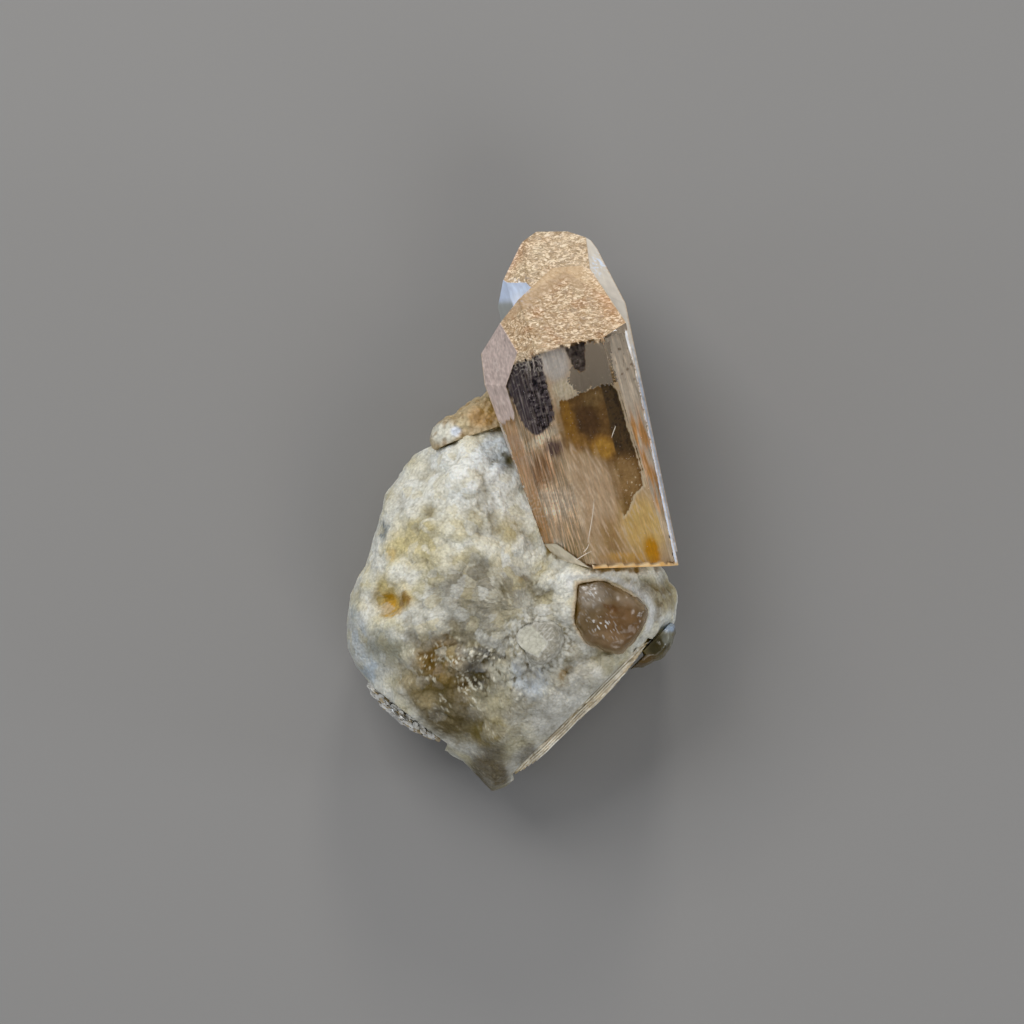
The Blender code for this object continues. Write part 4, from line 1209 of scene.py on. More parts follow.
def crystal_surface():
    """All facets gridded: points, faces, each point's facet normal, how far it is from
    the facet's rim, and each face's facet."""
    corners, facets = solid_facets(topaz_solid)
    parts = [gridded_facet(corners, normal, edges) for normal, edges in facets]
    sizes = np.cumsum([0] + [len(part[0]) for part in parts])
    points = np.vstack([part[0] for part in parts])
    faces = np.vstack([part[1] + start for part, start in zip(parts, sizes)])
    normals = np.repeat([normal for normal, edges in facets], np.diff(sizes), axis=0)
    rim = np.concatenate([part[2] for part in parts])
    facet = np.repeat(np.arange(len(parts)), [len(part[1]) for part in parts])
    return points, faces, normals, rim, facet


def on_plane(points, normals, plane):
    """Which points belong to the facet that lies in a plane."""
    return (normals @ plane[1] > 0.999) & (np.abs(beyond(points, plane)) < 0.3)


def drawn_out(points, normals, across, along):
    """Noise on a prism face, drawn out along the crystal: across and along are how many
    waves it has in a millimetre each way."""
    side = np.cross(LONG_WAY, normals)
    side /= np.maximum(np.linalg.norm(side, axis=1), 1e-9)[:, None]
    place = np.column_stack(
        ((points * side).sum(axis=1) * across, points @ LONG_WAY * along, normals @ (30, 50, 70))
    )
    return slope_noise(place, 1.0, 73)


def hillocks(points):
    """Growth hillocks of a frosted end: each one is a small facet leaning its own way,
    highest at its own middle."""
    total = np.zeros(len(points))
    for size, lean, drop, seed in ((0.46, 0.20, 0.09, 71), (1.0, 0.16, 0.05, 72)):
        near, _, own, away = cell_noise(points, size, seed)
        total += lean * (away * (own - 0.5)).sum(axis=1) - drop * near
    return total


topaz_points, topaz_faces, topaz_normals, topaz_rim, topaz_facet = crystal_surface()
is_end = topaz_normals @ LONG_WAY > 0.2
is_foot = topaz_normals @ LONG_WAY < -0.5
on_chip = (topaz_normals @ LONG_WAY < -0.3) & (topaz_normals[:, 2] > 0.2)
is_prism = ~is_end & ~is_foot
on_m_right, on_m_left, on_l_left, on_l_right, on_pink, on_pale = (
    on_plane(topaz_points, topaz_normals, plane)
    for plane in (m_right, m_left, l_left, l_right, pink_end, pale_end)
)
on_rear_left, on_rear_front, on_rear_side, on_rear_right = (
    on_plane(topaz_points, topaz_normals, plane)
    for plane in (rear_m_left, rear_m_right, rear_l_left, rear_l_right)
)


def facet_plane(picked):
    """The plane of the facet whose points are picked, through a point of its rim."""
    spot = np.flatnonzero(picked & (topaz_rim == 0))[0]
    return topaz_points[spot], topaz_normals[spot]


chip, foot = facet_plane(on_chip), facet_plane(is_foot)


def crystal_relief(points, normals, rim):
    """How high each point stands on its facet: hillocks on the ends, grooves on the
    prism faces, deeper on the left and right ones, and hackles on the broken foot."""
    groove = drawn_out(points, normals, 6.0, 0.2) + drawn_out(points, normals, 2.4, 0.1)
    deep = np.where(on_m_left | on_l_right, 0.030, 0.012)
    deep = np.where(on_m_right, 0.005, deep)
    relief = np.where(is_prism, deep * (groove - 0.8), 0.0)
    relief = np.where(is_end, hillocks(points) - 0.08, relief)
    waves = 0.03 * slope_noise(points, 0.9, 75) + 0.01 * slope_noise(points, 0.3, 77) - 0.03
    relief = np.where(on_pink | on_pale, waves, relief)
    crust = 0.1 * slope_noise(points, 0.6, 78) + 0.05 * slope_noise(points, 0.25, 79) - 0.08
    relief = np.where(on_chip, crust, relief)
    relief = np.where(is_foot, 0.1 * slope_noise(points, 2.0, 76) - 0.07, relief)
    return relief * rise(rim, 0.0, 0.2)


def gold_tone(points, front):
    """The frosted ends: tan and finely mottled, rustier at the rims and in clouds, and
    smoother in a band under the front crystal's tip, with a painted highlight along its top edge.
    The gloss is low in that band."""
    tan = np.where(front[:, None], linear(172, 144, 112), linear(182, 158, 128))
    own = cell_noise(points, 0.30, 71)[2]
    tan = tan * (0.86 + 0.28 * own[:, :1])
    tan = stain(tan, 0.5 * rise(slope_noise(points, 1.6, 83), 0.15, 0.6), (156, 112, 72))
    tan = stain(tan, 0.5 * rise(-slope_noise(points, 1.9, 87), 0.1, 0.6), (188, 168, 138))
    tan = stain(tan, 0.8 * blob(points, -0.3, 25.8, 1.0, 2.4, -35), (176, 132, 98))
    tan = stain(tan, 0.7 * blob(points, 9.6, 21.2, 1.0, 2.2, 30) * front, (178, 120, 66))
    band = front * rise(points[:, 1] + 0.75 * np.abs(points[:, 0] - 5.2), 23.0, 23.8)
    band = band * (1 - 0.75 * rise(points[:, 0], 6.6, 7.4))
    tan = stain(tan, 0.8 * band, (176, 149, 118))
    # A painted highlight: a pale line along the front crystal's rounded top edge.
    crest = front * rise(points[:, 1] + 0.62 * np.abs(points[:, 0] - 5.2), 24.1, 24.4)
    return stain(tan, 0.6 * crest, (206, 178, 142)), 0.95 - 0.75 * band


def foot_tone(points):
    """The broken foot, grown over where it meets the rock: white on the left, golden
    in the middle, orange on the right, with a thin rusty line along its low edge."""
    tone = plain(points, (190, 160, 116))
    tone = stain(tone, 1 - rise(points[:, 0], 4.8, 6.4), (222, 216, 202))
    tone = stain(tone, blob(points, 14.0, -4.0, 1.3, 2.0), (206, 146, 44))
    tone = stain(tone, 0.8 * rise(slope_noise(points, 0.8, 88), 0.0, 0.5), (214, 190, 150))
    low = 0.7 * (1 - rise(points[:, 1], -5.6, -5.3)) * rise(points[:, 0], 5.5, 7.0)
    tone = stain(tone, low, (204, 152, 82))
    white = rise(slope_noise(points, 0.6, 65), 0.0, 0.3) * (points[:, 0] < 8.0)
    tone = stain(tone, 0.8 * white, (222, 214, 198))
    return stain(tone, 0.85 * (1 - rise(points[:, 0], 7.6, 8.4)), (212, 202, 182))


def crystal_coat(points, normals):
    """What covers each point: 0 nothing, 1 glitter, 2 a plain coat. Then the coat's
    colour and gloss: gold on the frosted ends, pink on the upper left faces, bluish white on the
    rear crystal's left with a painted highlight, a grown-over foot, and along the right rim a
    painted rim light, white above and bluish white below."""
    x, y = points[:, 0], points[:, 1]
    wobble = 0.5 * slope_noise(points, 1.2, 81) + 0.25 * slope_noise(points, 0.4, 82)
    front = on_plane(points, normals, gold_end) | on_plane(points, normals, gold_left_end)
    golds, glitter = gold_tone(points, front)
    near_foot = beyond(points, foot) > 0.15 * wobble - FOOT_BAND
    rim = np.array(FRONT_RIM)[:, :2]
    near_rim = edge_distance(points[:, :2], rim[:1], rim[1:])
    rim_width = 0.24 - 0.1 * rise(y, 0.0, 8.0) + 0.22 * rise(y, 14.0, 18.0) + 0.05 * wobble
    slant = (rim[1, 0] - rim[0, 0]) / (rim[0, 1] - rim[1, 1])
    past_rim = x - (rim[0, 0] + (rim[0, 1] - y) * slant)
    bluish = linear(196, 208, 230) * (1 + 0.15 * slope_noise(points, 0.8, 89))[:, None]
    # A painted highlight: a brighter bluish white spot on the rear crystal's left.
    bluish = stain(bluish, 0.7 * blob(points, 0.6, 21.4, 0.8, 0.6, 30), (232, 238, 250))
    greyish = stain(bluish, rise(-y, -21.6, -20.8), (158, 160, 156))
    dusty = 0.16 * slope_noise(points, 0.9, 84) + 0.35 * slope_noise(points, 0.3, 96)
    pinks = linear(186, 168, 160) * (1 + dusty)[:, None]
    scratch = 1 - rise(np.abs(slope_noise(points * (1.0, 2.2, 1.0), 1.4, 90)), 0.0, 0.06)
    pinks = stain(pinks, 0.5 * scratch, (216, 202, 194))
    pales = linear(206, 198, 186) * (1 + 0.10 * slope_noise(points, 0.6, 84))[:, None]
    # Painted rim light: white along the right rim above, bluish white below, and a little darker on
    # the rear crystal's rim.
    rims = np.where(y[:, None] > 13.6, linear(236, 236, 236), linear(208, 217, 232))
    rims = rims * (0.8 + 0.35 * slope_noise(points, 0.3, 85))[:, None]
    kinds = (
        (on_pale, pales),
        (on_pink, pinks),
        (on_l_left & (y + 1.4 * wobble > 9.2 + 0.5 * (x + 0.6)), pinks),
        (on_l_right & (near_rim < rim_width), rims),
        (on_rear_right & (past_rim > -0.05), rims * 0.85),
        (on_rear_left & (y + wobble > 19), bluish),
        (on_rear_side & (y + wobble > 18), greyish),
        (on_rear_front & (y + wobble > 17), pales),
        (on_rear_right & (y + wobble > 17), pales),
        (is_foot | on_chip, foot_tone(points)),
        ((on_m_right | on_l_right) & near_foot, foot_tone(points)),
    )
    top_edge = 16.2 + (x - 2.25) * np.where(x < 2.25, 0.39, 0.18)
    ragged = 0.22 + 0.5 * slope_noise(points * (1, 0.6, 1), 0.7, 94)
    ragged = ragged + 0.35 * slope_noise(points, 0.3, 95) + 0.25 * (1 - rise(x, 3.0, 5.0))
    frost = is_end | ((on_m_left | on_m_right) & (y > top_edge - ragged))
    cover = np.where(frost, 1, 0)
    colours, gloss = golds, np.where(frost, glitter, 0.6)
    for mask, colour in kinds:
        cover = np.where(mask, 2, cover)
        colours = np.where(mask[:, None], colour, colours)
        gloss = np.where(mask, 0.55, gloss)
    sparkle = rise(slope_noise(points, 0.3, 86), 0.1, 0.35) * blob(points, 8.7, 25.0, 0.7, 1.0)
    sparkle = sparkle + rise(slope_noise(points, 0.3, 86), 0.2, 0.4) * blob(points, 0.6, 22.4, 1.0)
    return cover, stain(colours, sparkle, (214, 228, 250)), gloss


topaz_cover, topaz_tone, topaz_gloss = crystal_coat(topaz_points, topaz_normals)
topaz_relief = crystal_relief(topaz_points, topaz_normals, topaz_rim)
topaz_points = topaz_points + topaz_normals * topaz_relief[:, None]
cover_face = np.median(topaz_cover[topaz_faces], axis=1).astype(np.int32)
welded, topaz_first, topaz_number = np.unique(
    np.round(topaz_points, 4), axis=0, return_index=True, return_inverse=True
)
topaz_number = topaz_number.ravel()
topaz_faces = topaz_number[topaz_faces]
sound = (
    (topaz_faces[:, 0] != topaz_faces[:, 1])
    & (topaz_faces[:, 1] != topaz_faces[:, 2])
    & (topaz_faces[:, 2] != topaz_faces[:, 0])
)
topaz_faces, cover_face, topaz_facet = topaz_faces[sound], cover_face[sound], topaz_facet[sound]
topaz = mesh_object(
    "topaz_crystal_pair", welded, topaz_faces.tolist(), topaz_tone[topaz_first],
    topaz_gloss[topaz_first],
)


def mark_sharp(mesh, faces, facet):
    """Edges between two facets stay sharp, so that each facet is shaded on its own."""
    sides = np.sort(np.vstack((faces[:, (0, 1)], faces[:, (1, 2)], faces[:, (2, 0)])), axis=1)
    codes = sides[:, 0].astype(np.int64) * 10**7 + sides[:, 1]
    owner = np.tile(facet, 3)
    order = np.argsort(codes, kind="stable")
    codes, owner = codes[order], owner[order]
    pair = (codes[1:] == codes[:-1]) & (owner[1:] != owner[:-1])
    edges = np.empty(len(mesh.edges) * 2, np.int32)
    mesh.edges.foreach_get("vertices", edges)
    edges = np.sort(edges.reshape(-1, 2), axis=1).astype(np.int64)
    sharp = np.isin(edges[:, 0] * 10**7 + edges[:, 1], codes[:-1][pair])
    layer = mesh.attributes.new("sharp_edge", "BOOLEAN", "EDGE")
    layer.data.foreach_set("value", sharp)


# How far the crystals lean to the left of the photo's upright.
CRYSTAL_LEAN = math.atan2(5.7, 21.5)


def stroke_group(name, outputs, turn, stretch, lit, dark, **noise):
    """A group with noise drawn out one way, and the masks of its bright and of its dark
    strokes: each maps one range of the noise to another, (from, to, low, high)."""
    group, inputs, out = new_group(name, {"Size per metre": 3500.0, "Contrast": 0.3}, outputs)
    place = add_node(
        group, "ShaderNodeMapping",
        {
            "Vector": add_node(group, "ShaderNodeTexCoord").outputs["Object"],
            "Rotation": (0.0, 0.0, turn), "Scale": stretch,
        },
        vector_type="TEXTURE",
    ).outputs[0]
    waves = add_node(
        group, "ShaderNodeTexNoise", {"Vector": place, "Scale": inputs[0], **noise}
    ).outputs["Fac"]
    masks = [
        add_node(
            group, "ShaderNodeMapRange",
            {"Value": waves, "From Min": start, "From Max": end, "To Min": low, "To Max": high},
        ).outputs[0]
        for start, end, low, high in (lit, dark)
    ]
    group.links.new(waves, out["Height"])
    return group, inputs[1], out, masks


# Glitter of a frosted end, painted into its colour: bright strokes as painted highlights, and
# painted shade in the hollows between small hillocks.
glitter_group, glitter_contrast, glitter_out, (glitter_lit, glitter_dark) = stroke_group(
    "frosted_glitter", ("Shade", "Height", "Lit"), CRYSTAL_LEAN / 2, (2.0, 1.0, 1.0),
    (0.50, 0.66, 0.0, 1.0), (0.34, 0.5, -0.3, 0.0), Detail=2.0, Distortion=1.2,
)
glitter_shade = math_node(glitter_group, "MULTIPLY_ADD", glitter_dark, glitter_contrast, 1.0)
glitter_lift = math_node(glitter_group, "MULTIPLY", glitter_lit, glitter_contrast)
glitter_group.links.new(glitter_lift, glitter_out["Lit"])
glitter_group.links.new(glitter_shade, glitter_out["Shade"])

# Fine streaks along the crystals: bright threads between darker ones.
streak_group, streak_contrast, streak_out, (streak_lit, streak_dark) = stroke_group(
    "long_streaks", ("Shade", "Height"), CRYSTAL_LEAN, (1.0, 16.0, 16.0),
    (0.5, 0.68, 0.0, 2.0), (0.34, 0.52, -1.0, 0.0), Detail=3.0, Roughness=0.6,
)
streak_both = math_node(streak_group, "ADD", streak_lit, streak_dark)
streak_shade = math_node(streak_group, "MULTIPLY_ADD", streak_both, streak_contrast, 1.0)
streak_group.links.new(streak_shade, streak_out["Shade"])


def glass_material(name, ior, roughness, colour, density, bump, bump_per_metre):
    """Clear mineral: light passes through and is taken up on its way, by colour and
    density per metre. Its skin is a little uneven."""
    material, tree, shader = new_material(
        name, IOR=ior, Transmission_Weight=1.0, Roughness=roughness, Base_Color=(1, 1, 1, 1)
    )
    absorption = add_node(
        tree, "ShaderNodeVolumeAbsorption", {"Color": (*colour, 1.0), "Density": density}
    )
    tree.links.new(absorption.outputs[0], tree.nodes["Material Output"].inputs["Volume"])
    grain = add_node(tree, "ShaderNodeGroup", node_tree=grain_group)
    grain.inputs["Size per metre"].default_value = bump_per_metre
    lift = add_node(
        tree, "ShaderNodeBump", {"Height": grain.outputs["Height"], "Distance": bump * MM}
    )
    tree.links.new(lift.outputs[0], shader.inputs["Normal"])
    return material


mark_sharp(topaz.data, topaz_faces, topaz_facet)
topaz.data.materials.append(
    glass_material(
        "clear_topaz", ior=1.62, roughness=0.05, colour=(1.0, 0.90, 0.76), density=110.0,
        bump=0.004, bump_per_metre=2500.0,
    )
)
topaz.data.materials.append(
    toned_material("frosted_topaz", glitter_group, 4300.0, None, 0.07, 0.55, 0.28, IOR=1.62)
)
topaz.data.materials.append(
    toned_material("coated_topaz", streak_group, 3000.0, 0.035, 0.02, 0.6, 0.3, IOR=1.62)
)
topaz.data.polygons.foreach_set("material_index", cover_face)
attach(topaz, "root")
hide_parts("topaz_crystals")

# What shows inside the crystals
# Healed cracks and stains under the front faces: a brown block with a jagged top and a dark bar,
# a fibrous pinkish veil, a golden foot, and grey clouds round the clear window above. On the left,
# a dark grooved patch is painted shade, the dark surroundings seen through the glass.

VEIL_STEP = 0.08
VEIL_THICK = 0.04
VEIL_FOOT_GAP = 0.16
VEIL_LOWEST = 15.5
VEIL_OUTLINE = (
    (-1.1, 9.3), (3.3, -3.2), (4.7, -5.2), (16.2, -5.4), (11.4, 17.9), (9.1, 17.7), (2.3, 16.6),
    (0.3, 15.7), (-0.6, 14.3), (-0.8, 12.6),
)
# The outline of the painted shade on the left.
DARK_PATCH = (
    (0.45, 15.5), (1.7, 16.4), (2.7, 16.2), (3.1, 14.1), (3.7, 11.8), (4.2, 9.8), (4.2, 9.2),
    (3.6, 8.4), (2.7, 7.7), (1.9, 7.9), (1.3, 8.6), (0.8, 9.6), (0.1, 11.2), (-0.65, 12.6),
    (-0.3, 13.9),
)
PURPLE_PATCH = ((3.33, 7.25), (5.02, 7.1), (5.17, 6.48), (4.85, 5.56), (3.95, 5.56), (3.33, 6.18))
BROWN_BLOCK = (
    (4.56, 11.08), (5.93, 11.38), (6.55, 11.84), (7.31, 12.15), (7.92, 12.3), (8.69, 12.76),
    (9.76, 12.91), (10.37, 12.0), (10.99, 10.0), (11.44, 8.32), (12.06, 6.49), (12.67, 4.5),
    (12.98, 2.66), (12.06, 1.74), (11.83, 0.97), (11.44, 0.06), (11.06, -0.4), (10.68, 0.67),
    (10.22, 2.51), (9.76, 3.88), (9.0, 5.11), (7.46, 6.18), (5.63, 6.64), (5.02, 7.4), (4.71, 9.55),
)
DARK_BAR = (
    (8.69, 12.76), (9.76, 12.91), (10.37, 12.0), (10.99, 10.0), (11.44, 8.32), (12.06, 6.49),
    (12.36, 5.26), (10.53, 5.11), (10.22, 5.87), (9.76, 8.02), (9.3, 10.3), (8.99, 11.54),
)
WINDOW = (
    (5.93, 14.9), (5.63, 16.3), (7.0, 16.74), (9.45, 16.9), (10.07, 12.91), (8.69, 12.76),
    (6.55, 12.0), (5.93, 12.6), (5.63, 13.07),
)
SPECKLE = ((5.1, 16.4), (7.2, 17.1), (7.3, 14.2), (6.7, 13.8), (5.9, 14.6))
FIBRE_LEAN = 31
# Stains inside: (x, y, half width, half length, turn, strength, colour).
VEIL_STAINS = (
    (2.6, 4.2, 1.9, 1.9, 15, 0.9, (128, 94, 68)),
    (1.9, 2.7, 0.9, 0.9, 15, 0.8, (112, 80, 58)),
    (4.2, 0.9, 2.4, 1.5, 10, 0.9, (198, 172, 144)),
    (3.5, -1.7, 1.5, 1.3, 15, 0.85, (178, 145, 113)),
    (4.3, -3.6, 1.1, 0.8, 0, 0.95, (220, 208, 186)),
    (7.0, -3.8, 2.4, 1.1, 0, 0.75, (156, 128, 92)),
    (4.9, -4.9, 0.6, 0.3, 0, 0.9, (206, 146, 66)),
    (8.2, 1.6, 2.0, 3.4, 25, 0.85, (172, 144, 114)),
    (6.4, 6.6, 0.9, 0.8, 15, 0.7, (176, 130, 86)),
    (9.9, -2.6, 1.0, 2.2, 22, 0.8, (126, 98, 62)),
    (12.9, -1.4, 2.2, 3.2, 15, 0.95, (200, 158, 92)),
    (13.9, -3.9, 0.75, 1.5, 15, 0.95, (172, 104, 4)),
    (11.6, -4.6, 2.4, 0.6, -3, 0.7, (196, 142, 66)),
    (12.1, 9.6, 0.7, 4.0, 15, 0.8, (196, 172, 138)),
    (11.2, 14.6, 0.9, 2.4, 15, 0.8, (154, 144, 130)),
    (4.2, 15.0, 1.4, 2.0, 10, 0.9, (180, 174, 168)),
    (5.2, 12.2, 1.2, 1.0, 0, 0.9, (194, 180, 148)),
    (2.9, 7.3, 1.7, 0.45, 33, 0.9, (204, 182, 148)),
)
BLOCK_STAINS = (
    (5.2, 9.2, 0.9, 2.6, 15, 0.9, (116, 82, 36)),
    (7.4, 9.2, 1.2, 2.0, 15, 0.9, (62, 47, 32)),
    (8.0, 11.4, 1.2, 0.8, 15, 0.7, (98, 80, 54)),
    (8.9, 6.4, 1.2, 1.2, 15, 0.95, (152, 108, 50)),
    (6.4, 7.2, 1.2, 0.7, -20, 0.8, (118, 86, 46)),
    (11.2, 3.6, 1.4, 2.0, 15, 0.85, (124, 98, 66)),
    (11.0, 0.6, 0.7, 1.0, 15, 0.8, (104, 82, 52)),
)
# The share of light that a face lets out, and the share that it throws back inside.
FACE_LETS_OUT = 0.342
FACE_THROWS_BACK = 0.62
UPWARD_FACES = (m_right, m_left, l_left, l_right, gold_end, gold_left_end, pink_end, chip)


def plane_height(places, plane):
    """How high a plane is over each place in the plan."""
    origin, normal = plane
    return origin[2] - ((places - origin[:2]) @ normal[:2]) / normal[2]


def under_faces(places, depth):
    """The height at which a line down through each place is a depth inside the front
    crystal's upward faces: the least over those faces, each moved inwards."""
    heights = [plane_height(places, plane) - depth / plane[1][2] for plane in UPWARD_FACES]
    return np.min(heights, axis=0)


def thin_sheet(points, kept, rows, columns, normal_step):
    """A sheet of the grid's kept cells with a back moved by a step and walls between:
    closed, so that it has an inside."""
    quads = grid_faces(rows, columns, False)
    quads = quads[kept[quads].all(axis=1)]
    sides = np.vstack([quads[:, pair] for pair in ((0, 1), (1, 2), (2, 3), (3, 0))])
    rim = rim_edges(sides)
    count = len(points)
    walls = np.column_stack((rim[:, 1], rim[:, 0], rim[:, 0] + count, rim[:, 1] + count))
    faces = np.vstack((quads, quads[:, ::-1] + count, walls))
    both = np.vstack((points, points + normal_step))
    used, number = np.unique(faces, return_inverse=True)
    return both[used], number.reshape(faces.shape), used % count


# The crystals' long way and the way across it, in the plan.
LONG_PLAN = LONG_WAY[:2] / np.linalg.norm(LONG_WAY[:2])
ACROSS_PLAN = np.array((LONG_PLAN[1], -LONG_PLAN[0]))


def inner_veil():
    """A sheet that follows the front faces at a depth of its own: shallow under the
    grooved left face, deep in the brown block, and open in the clear window. What is
    seen through a face comes out darker, T = 0.34 R / (1 - 0.62 R), because the face
    throws most light back inside, so each colour T is turned to the paint R."""
    u = np.arange(-1.0, 16.0, VEIL_STEP)
    v = np.arange(-10.0, 21.5, VEIL_STEP)
    grid_v, grid_u = np.meshgrid(v, u, indexing="ij")
    places = grid_u.reshape(-1, 1) * ACROSS_PLAN + grid_v.reshape(-1, 1) * LONG_PLAN
    places += np.array((2.2, 0.0))
    flat = np.column_stack((places, np.zeros(len(places))))
    x, upward = places.T
    fine = np.column_stack((grid_u.ravel() * 6.0, grid_v.ravel() * 0.5, flat[:, 2]))
    thread = slope_noise(fine, 1.0, 91)
    wide = slope_noise(fine * (0.45, 0.6, 1), 1.0, 92)
    fibre = slope_noise(flat @ turned(FIBRE_LEAN) * (4.5, 0.6, 1.0), 1.0, 101)
    sugar = slope_noise(flat, 0.26, 102)
    mottle = slope_noise(flat, 0.5, 98) + 0.7 * slope_noise(flat, 0.22, 99)
    frayed = places + 0.14 * thread[:, None] * LONG_PLAN
    frayed = frayed + (0.12 * slope_noise(flat, 0.5, 93) + 0.05 * sugar)[:, None]
    dark = region(frayed, DARK_PATCH, 0.10)
    purple = region(frayed, PURPLE_PATCH, 0.4)
    crisp = np.maximum(rise(upward, 9.5, 11.0), rise(x + 0.28 * upward, 12.6, 13.2))
    crisp = np.maximum(crisp, rise(x - 0.35 * upward, 10.7, 11.2))
    block = region(frayed, BROWN_BLOCK, 0.06) * crisp
    block += region(places + 0.5 * wide[:, None], BROWN_BLOCK, 0.8) * (1 - crisp)
    bar = region(places, DARK_BAR, 0.05) * block * rise(upward, 5.0, 6.6)
    window = region(frayed, WINDOW, 0.5)
    speckle = region(frayed, SPECKLE, 0.15)
    depth = 0.32 + 0.5 * rise(grid_u.ravel(), 4.2, 6.0) + 0.12 * wide
    depth = depth + region(places, BROWN_BLOCK, 0.5) * (0.5 + 0.3 * region(places, DARK_BAR, 0.4))
    z = under_faces(places, depth)
    side = under_faces(places, 0.0)
    left_side, right_side = (
        side > plane_height(places, plane) - 0.01 for plane in (l_left, l_right)
    )
    left_front = (grid_u.ravel() < 4.3) & ~left_side
    colours = stained(plain(places, (170, 140, 107)), frayed, VEIL_STAINS)
    colours = np.where(left_side[:, None], linear(174, 126, 88), colours)
    strip = plain(colours, (178, 162, 142))
    strip = stain(strip, rise(-wide, -0.3, 0.3) * rise(11.5 - upward, 0.0, 3.0), (176, 116, 68))
    strip = stain(strip, 0.8 * rise(1.5 - upward, 0.0, 3.0), (214, 186, 148))
    pits = rise(slope_noise(flat * (2.4, 1, 1), 0.5, 97), 0.35, 0.5) * rise(upward, 12.5, 13.5)
    strip = stain(strip, 0.8 * pits, (84, 70, 56))
    colours = np.where(right_side[:, None], strip, colours)
    lined = np.where(left_front, 0.38, np.where(left_side | right_side, 0.32, 0.0))
    fibrous = np.where(left_front | left_side | right_side, 0.0, 0.8) * rise(9.0 - upward, 0.0, 2.0)
    fibrous *= 1 - rise(blob(places, 14.3, -3.8, 1.4, 2.0, 15), 0.2, 0.6)
    sugary = np.clip(
        blob(places, 4.2, 0.9, 2.8, 1.9, 10) + blob(places, 2.9, 7.3, 1.9, 0.7, 33)
        + blob(places, 5.2, 12.2, 1.4, 1.2) + 0.5 * blob(places, 4.2, 15.2, 1.4, 1.6), 0, 1,
    )
    strands = lined * rise(thread, 0.05, 0.5) + 0.75 * fibrous * rise(fibre, 0.1, 0.6)
    colours = stain(colours, strands, (220, 190, 158))
    shade = lined * rise(-thread, 0.05, 0.5) + 0.85 * fibrous * rise(-fibre, 0.1, 0.6)
    colours = stain(colours, 0.6 * shade, (124, 94, 68))
    colours = stain(colours, 0.7 * sugary * rise(sugar, 0.05, 0.5), (228, 204, 176))
    colours = stain(colours, 0.45 * sugary * rise(-sugar, 0.05, 0.5), (142, 112, 84))
    # Painted shade: the dark grooved patch, dark surroundings seen through the glass, with paler
    # lines and a pale network at its top.
    darks = plain(colours, (66, 60, 61))
    blotch = slope_noise(flat, 0.42, 103) + 0.6 * slope_noise(flat, 0.2, 104)
    darks = stain(darks, rise(blotch, 0.0, 0.3) * rise(x + 0.27 * upward, 4.4, 5.2), (22, 19, 20))
    darks = stain(darks, 0.6 * rise(-blotch, 0.3, 0.6), (120, 110, 104))
    darks = stain(darks, 0.45 * rise(thread, 0.0, 0.5), (120, 108, 100))
    network = 1 - rise(np.abs(slope_noise(flat, 0.55, 105)), 0.0, 0.14)
    darks = stain(darks, 0.75 * network * rise(upward, 13.2, 14.4), (190, 178, 160))
    browns = stained(plain(places, (84, 64, 40)), frayed, BLOCK_STAINS)
    bar_tone = stain(plain(places, (62, 51, 36)), rise(mottle, -0.1, 0.4), (42, 35, 26))
    browns = browns + (bar_tone - browns) * bar[:, None]
    browns = browns * (1 + 0.25 * mottle)[:, None]
    glints = rise(sugar, 0.52, 0.6) * blob(places, 11.7, 3.0, 1.3, 2.0, 15)
    browns = stain(browns, glints, (220, 200, 160))
    colours = colours + (darks - colours) * dark[:, None]
    colours = stain(colours, 0.95 * purple * (1 - 0.5 * rise(thread, 0.0, 0.4)), (76, 63, 61))
    crust = region(frayed, BROWN_BLOCK, 0.4) * (1 - block) * 1.7 * crisp
    colours = stain(colours, crust, (214, 200, 170))
    colours = colours + (browns - colours) * block[:, None]
    mottled = linear(60, 54, 50) * (1 + 0.9 * mottle)[:, None]
    colours = colours + (np.clip(mottled, 0.01, 1) - colours) * speckle[:, None]
    colours = colours * (1 + 0.12 * mottle)[:, None]
    colours = np.clip(colours / (FACE_LETS_OUT + FACE_THROWS_BACK * colours), 0, 0.96)
    kept = region(frayed, VEIL_OUTLINE, 0.1) > 0.5
    dissolve = 0.35 * sugar + 0.5 * np.random.default_rng(66).random(len(places))
    points = np.column_stack((places, z))
    kept &= beyond(points, foot) < -VEIL_FOOT_GAP
    kept &= (z > VEIL_LOWEST) & ~((window - dissolve > 0.3) & (speckle < 0.5))
    gloss = np.where(left_front, 0.36, np.where(right_side | left_side, 0.16, 0.08))
    gloss = gloss * (1 - 0.7 * block)
    return points, kept, len(v), len(u), colours, gloss


veil_points, veil_kept, veil_rows, veil_columns, veil_tones, veil_lines = inner_veil()
veil_points, veil_faces, veil_source = thin_sheet(
    veil_points, veil_kept, veil_rows, veil_columns, (0.0, 0.0, -VEIL_THICK)
)
veil = mesh_object(
    "inner_veils", veil_points, veil_faces.tolist(), veil_tones[veil_source],
    veil_lines[veil_source],
)
veil.data.materials.append(
    toned_material("inner_stain_and_painted_shade", streak_group, 6400.0, None, 0.02, 0.8, 0.35, IOR=1.3)
)
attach(veil, "root")

# The dust
# Four fine pale hairs and many specks of white dust, loose on the front crystal's
# upper faces.

HAIR_RADIUS = 0.034
HAIR_ALONG = 24
HAIR_SIDES = 6
SPECK_COUNT = 240
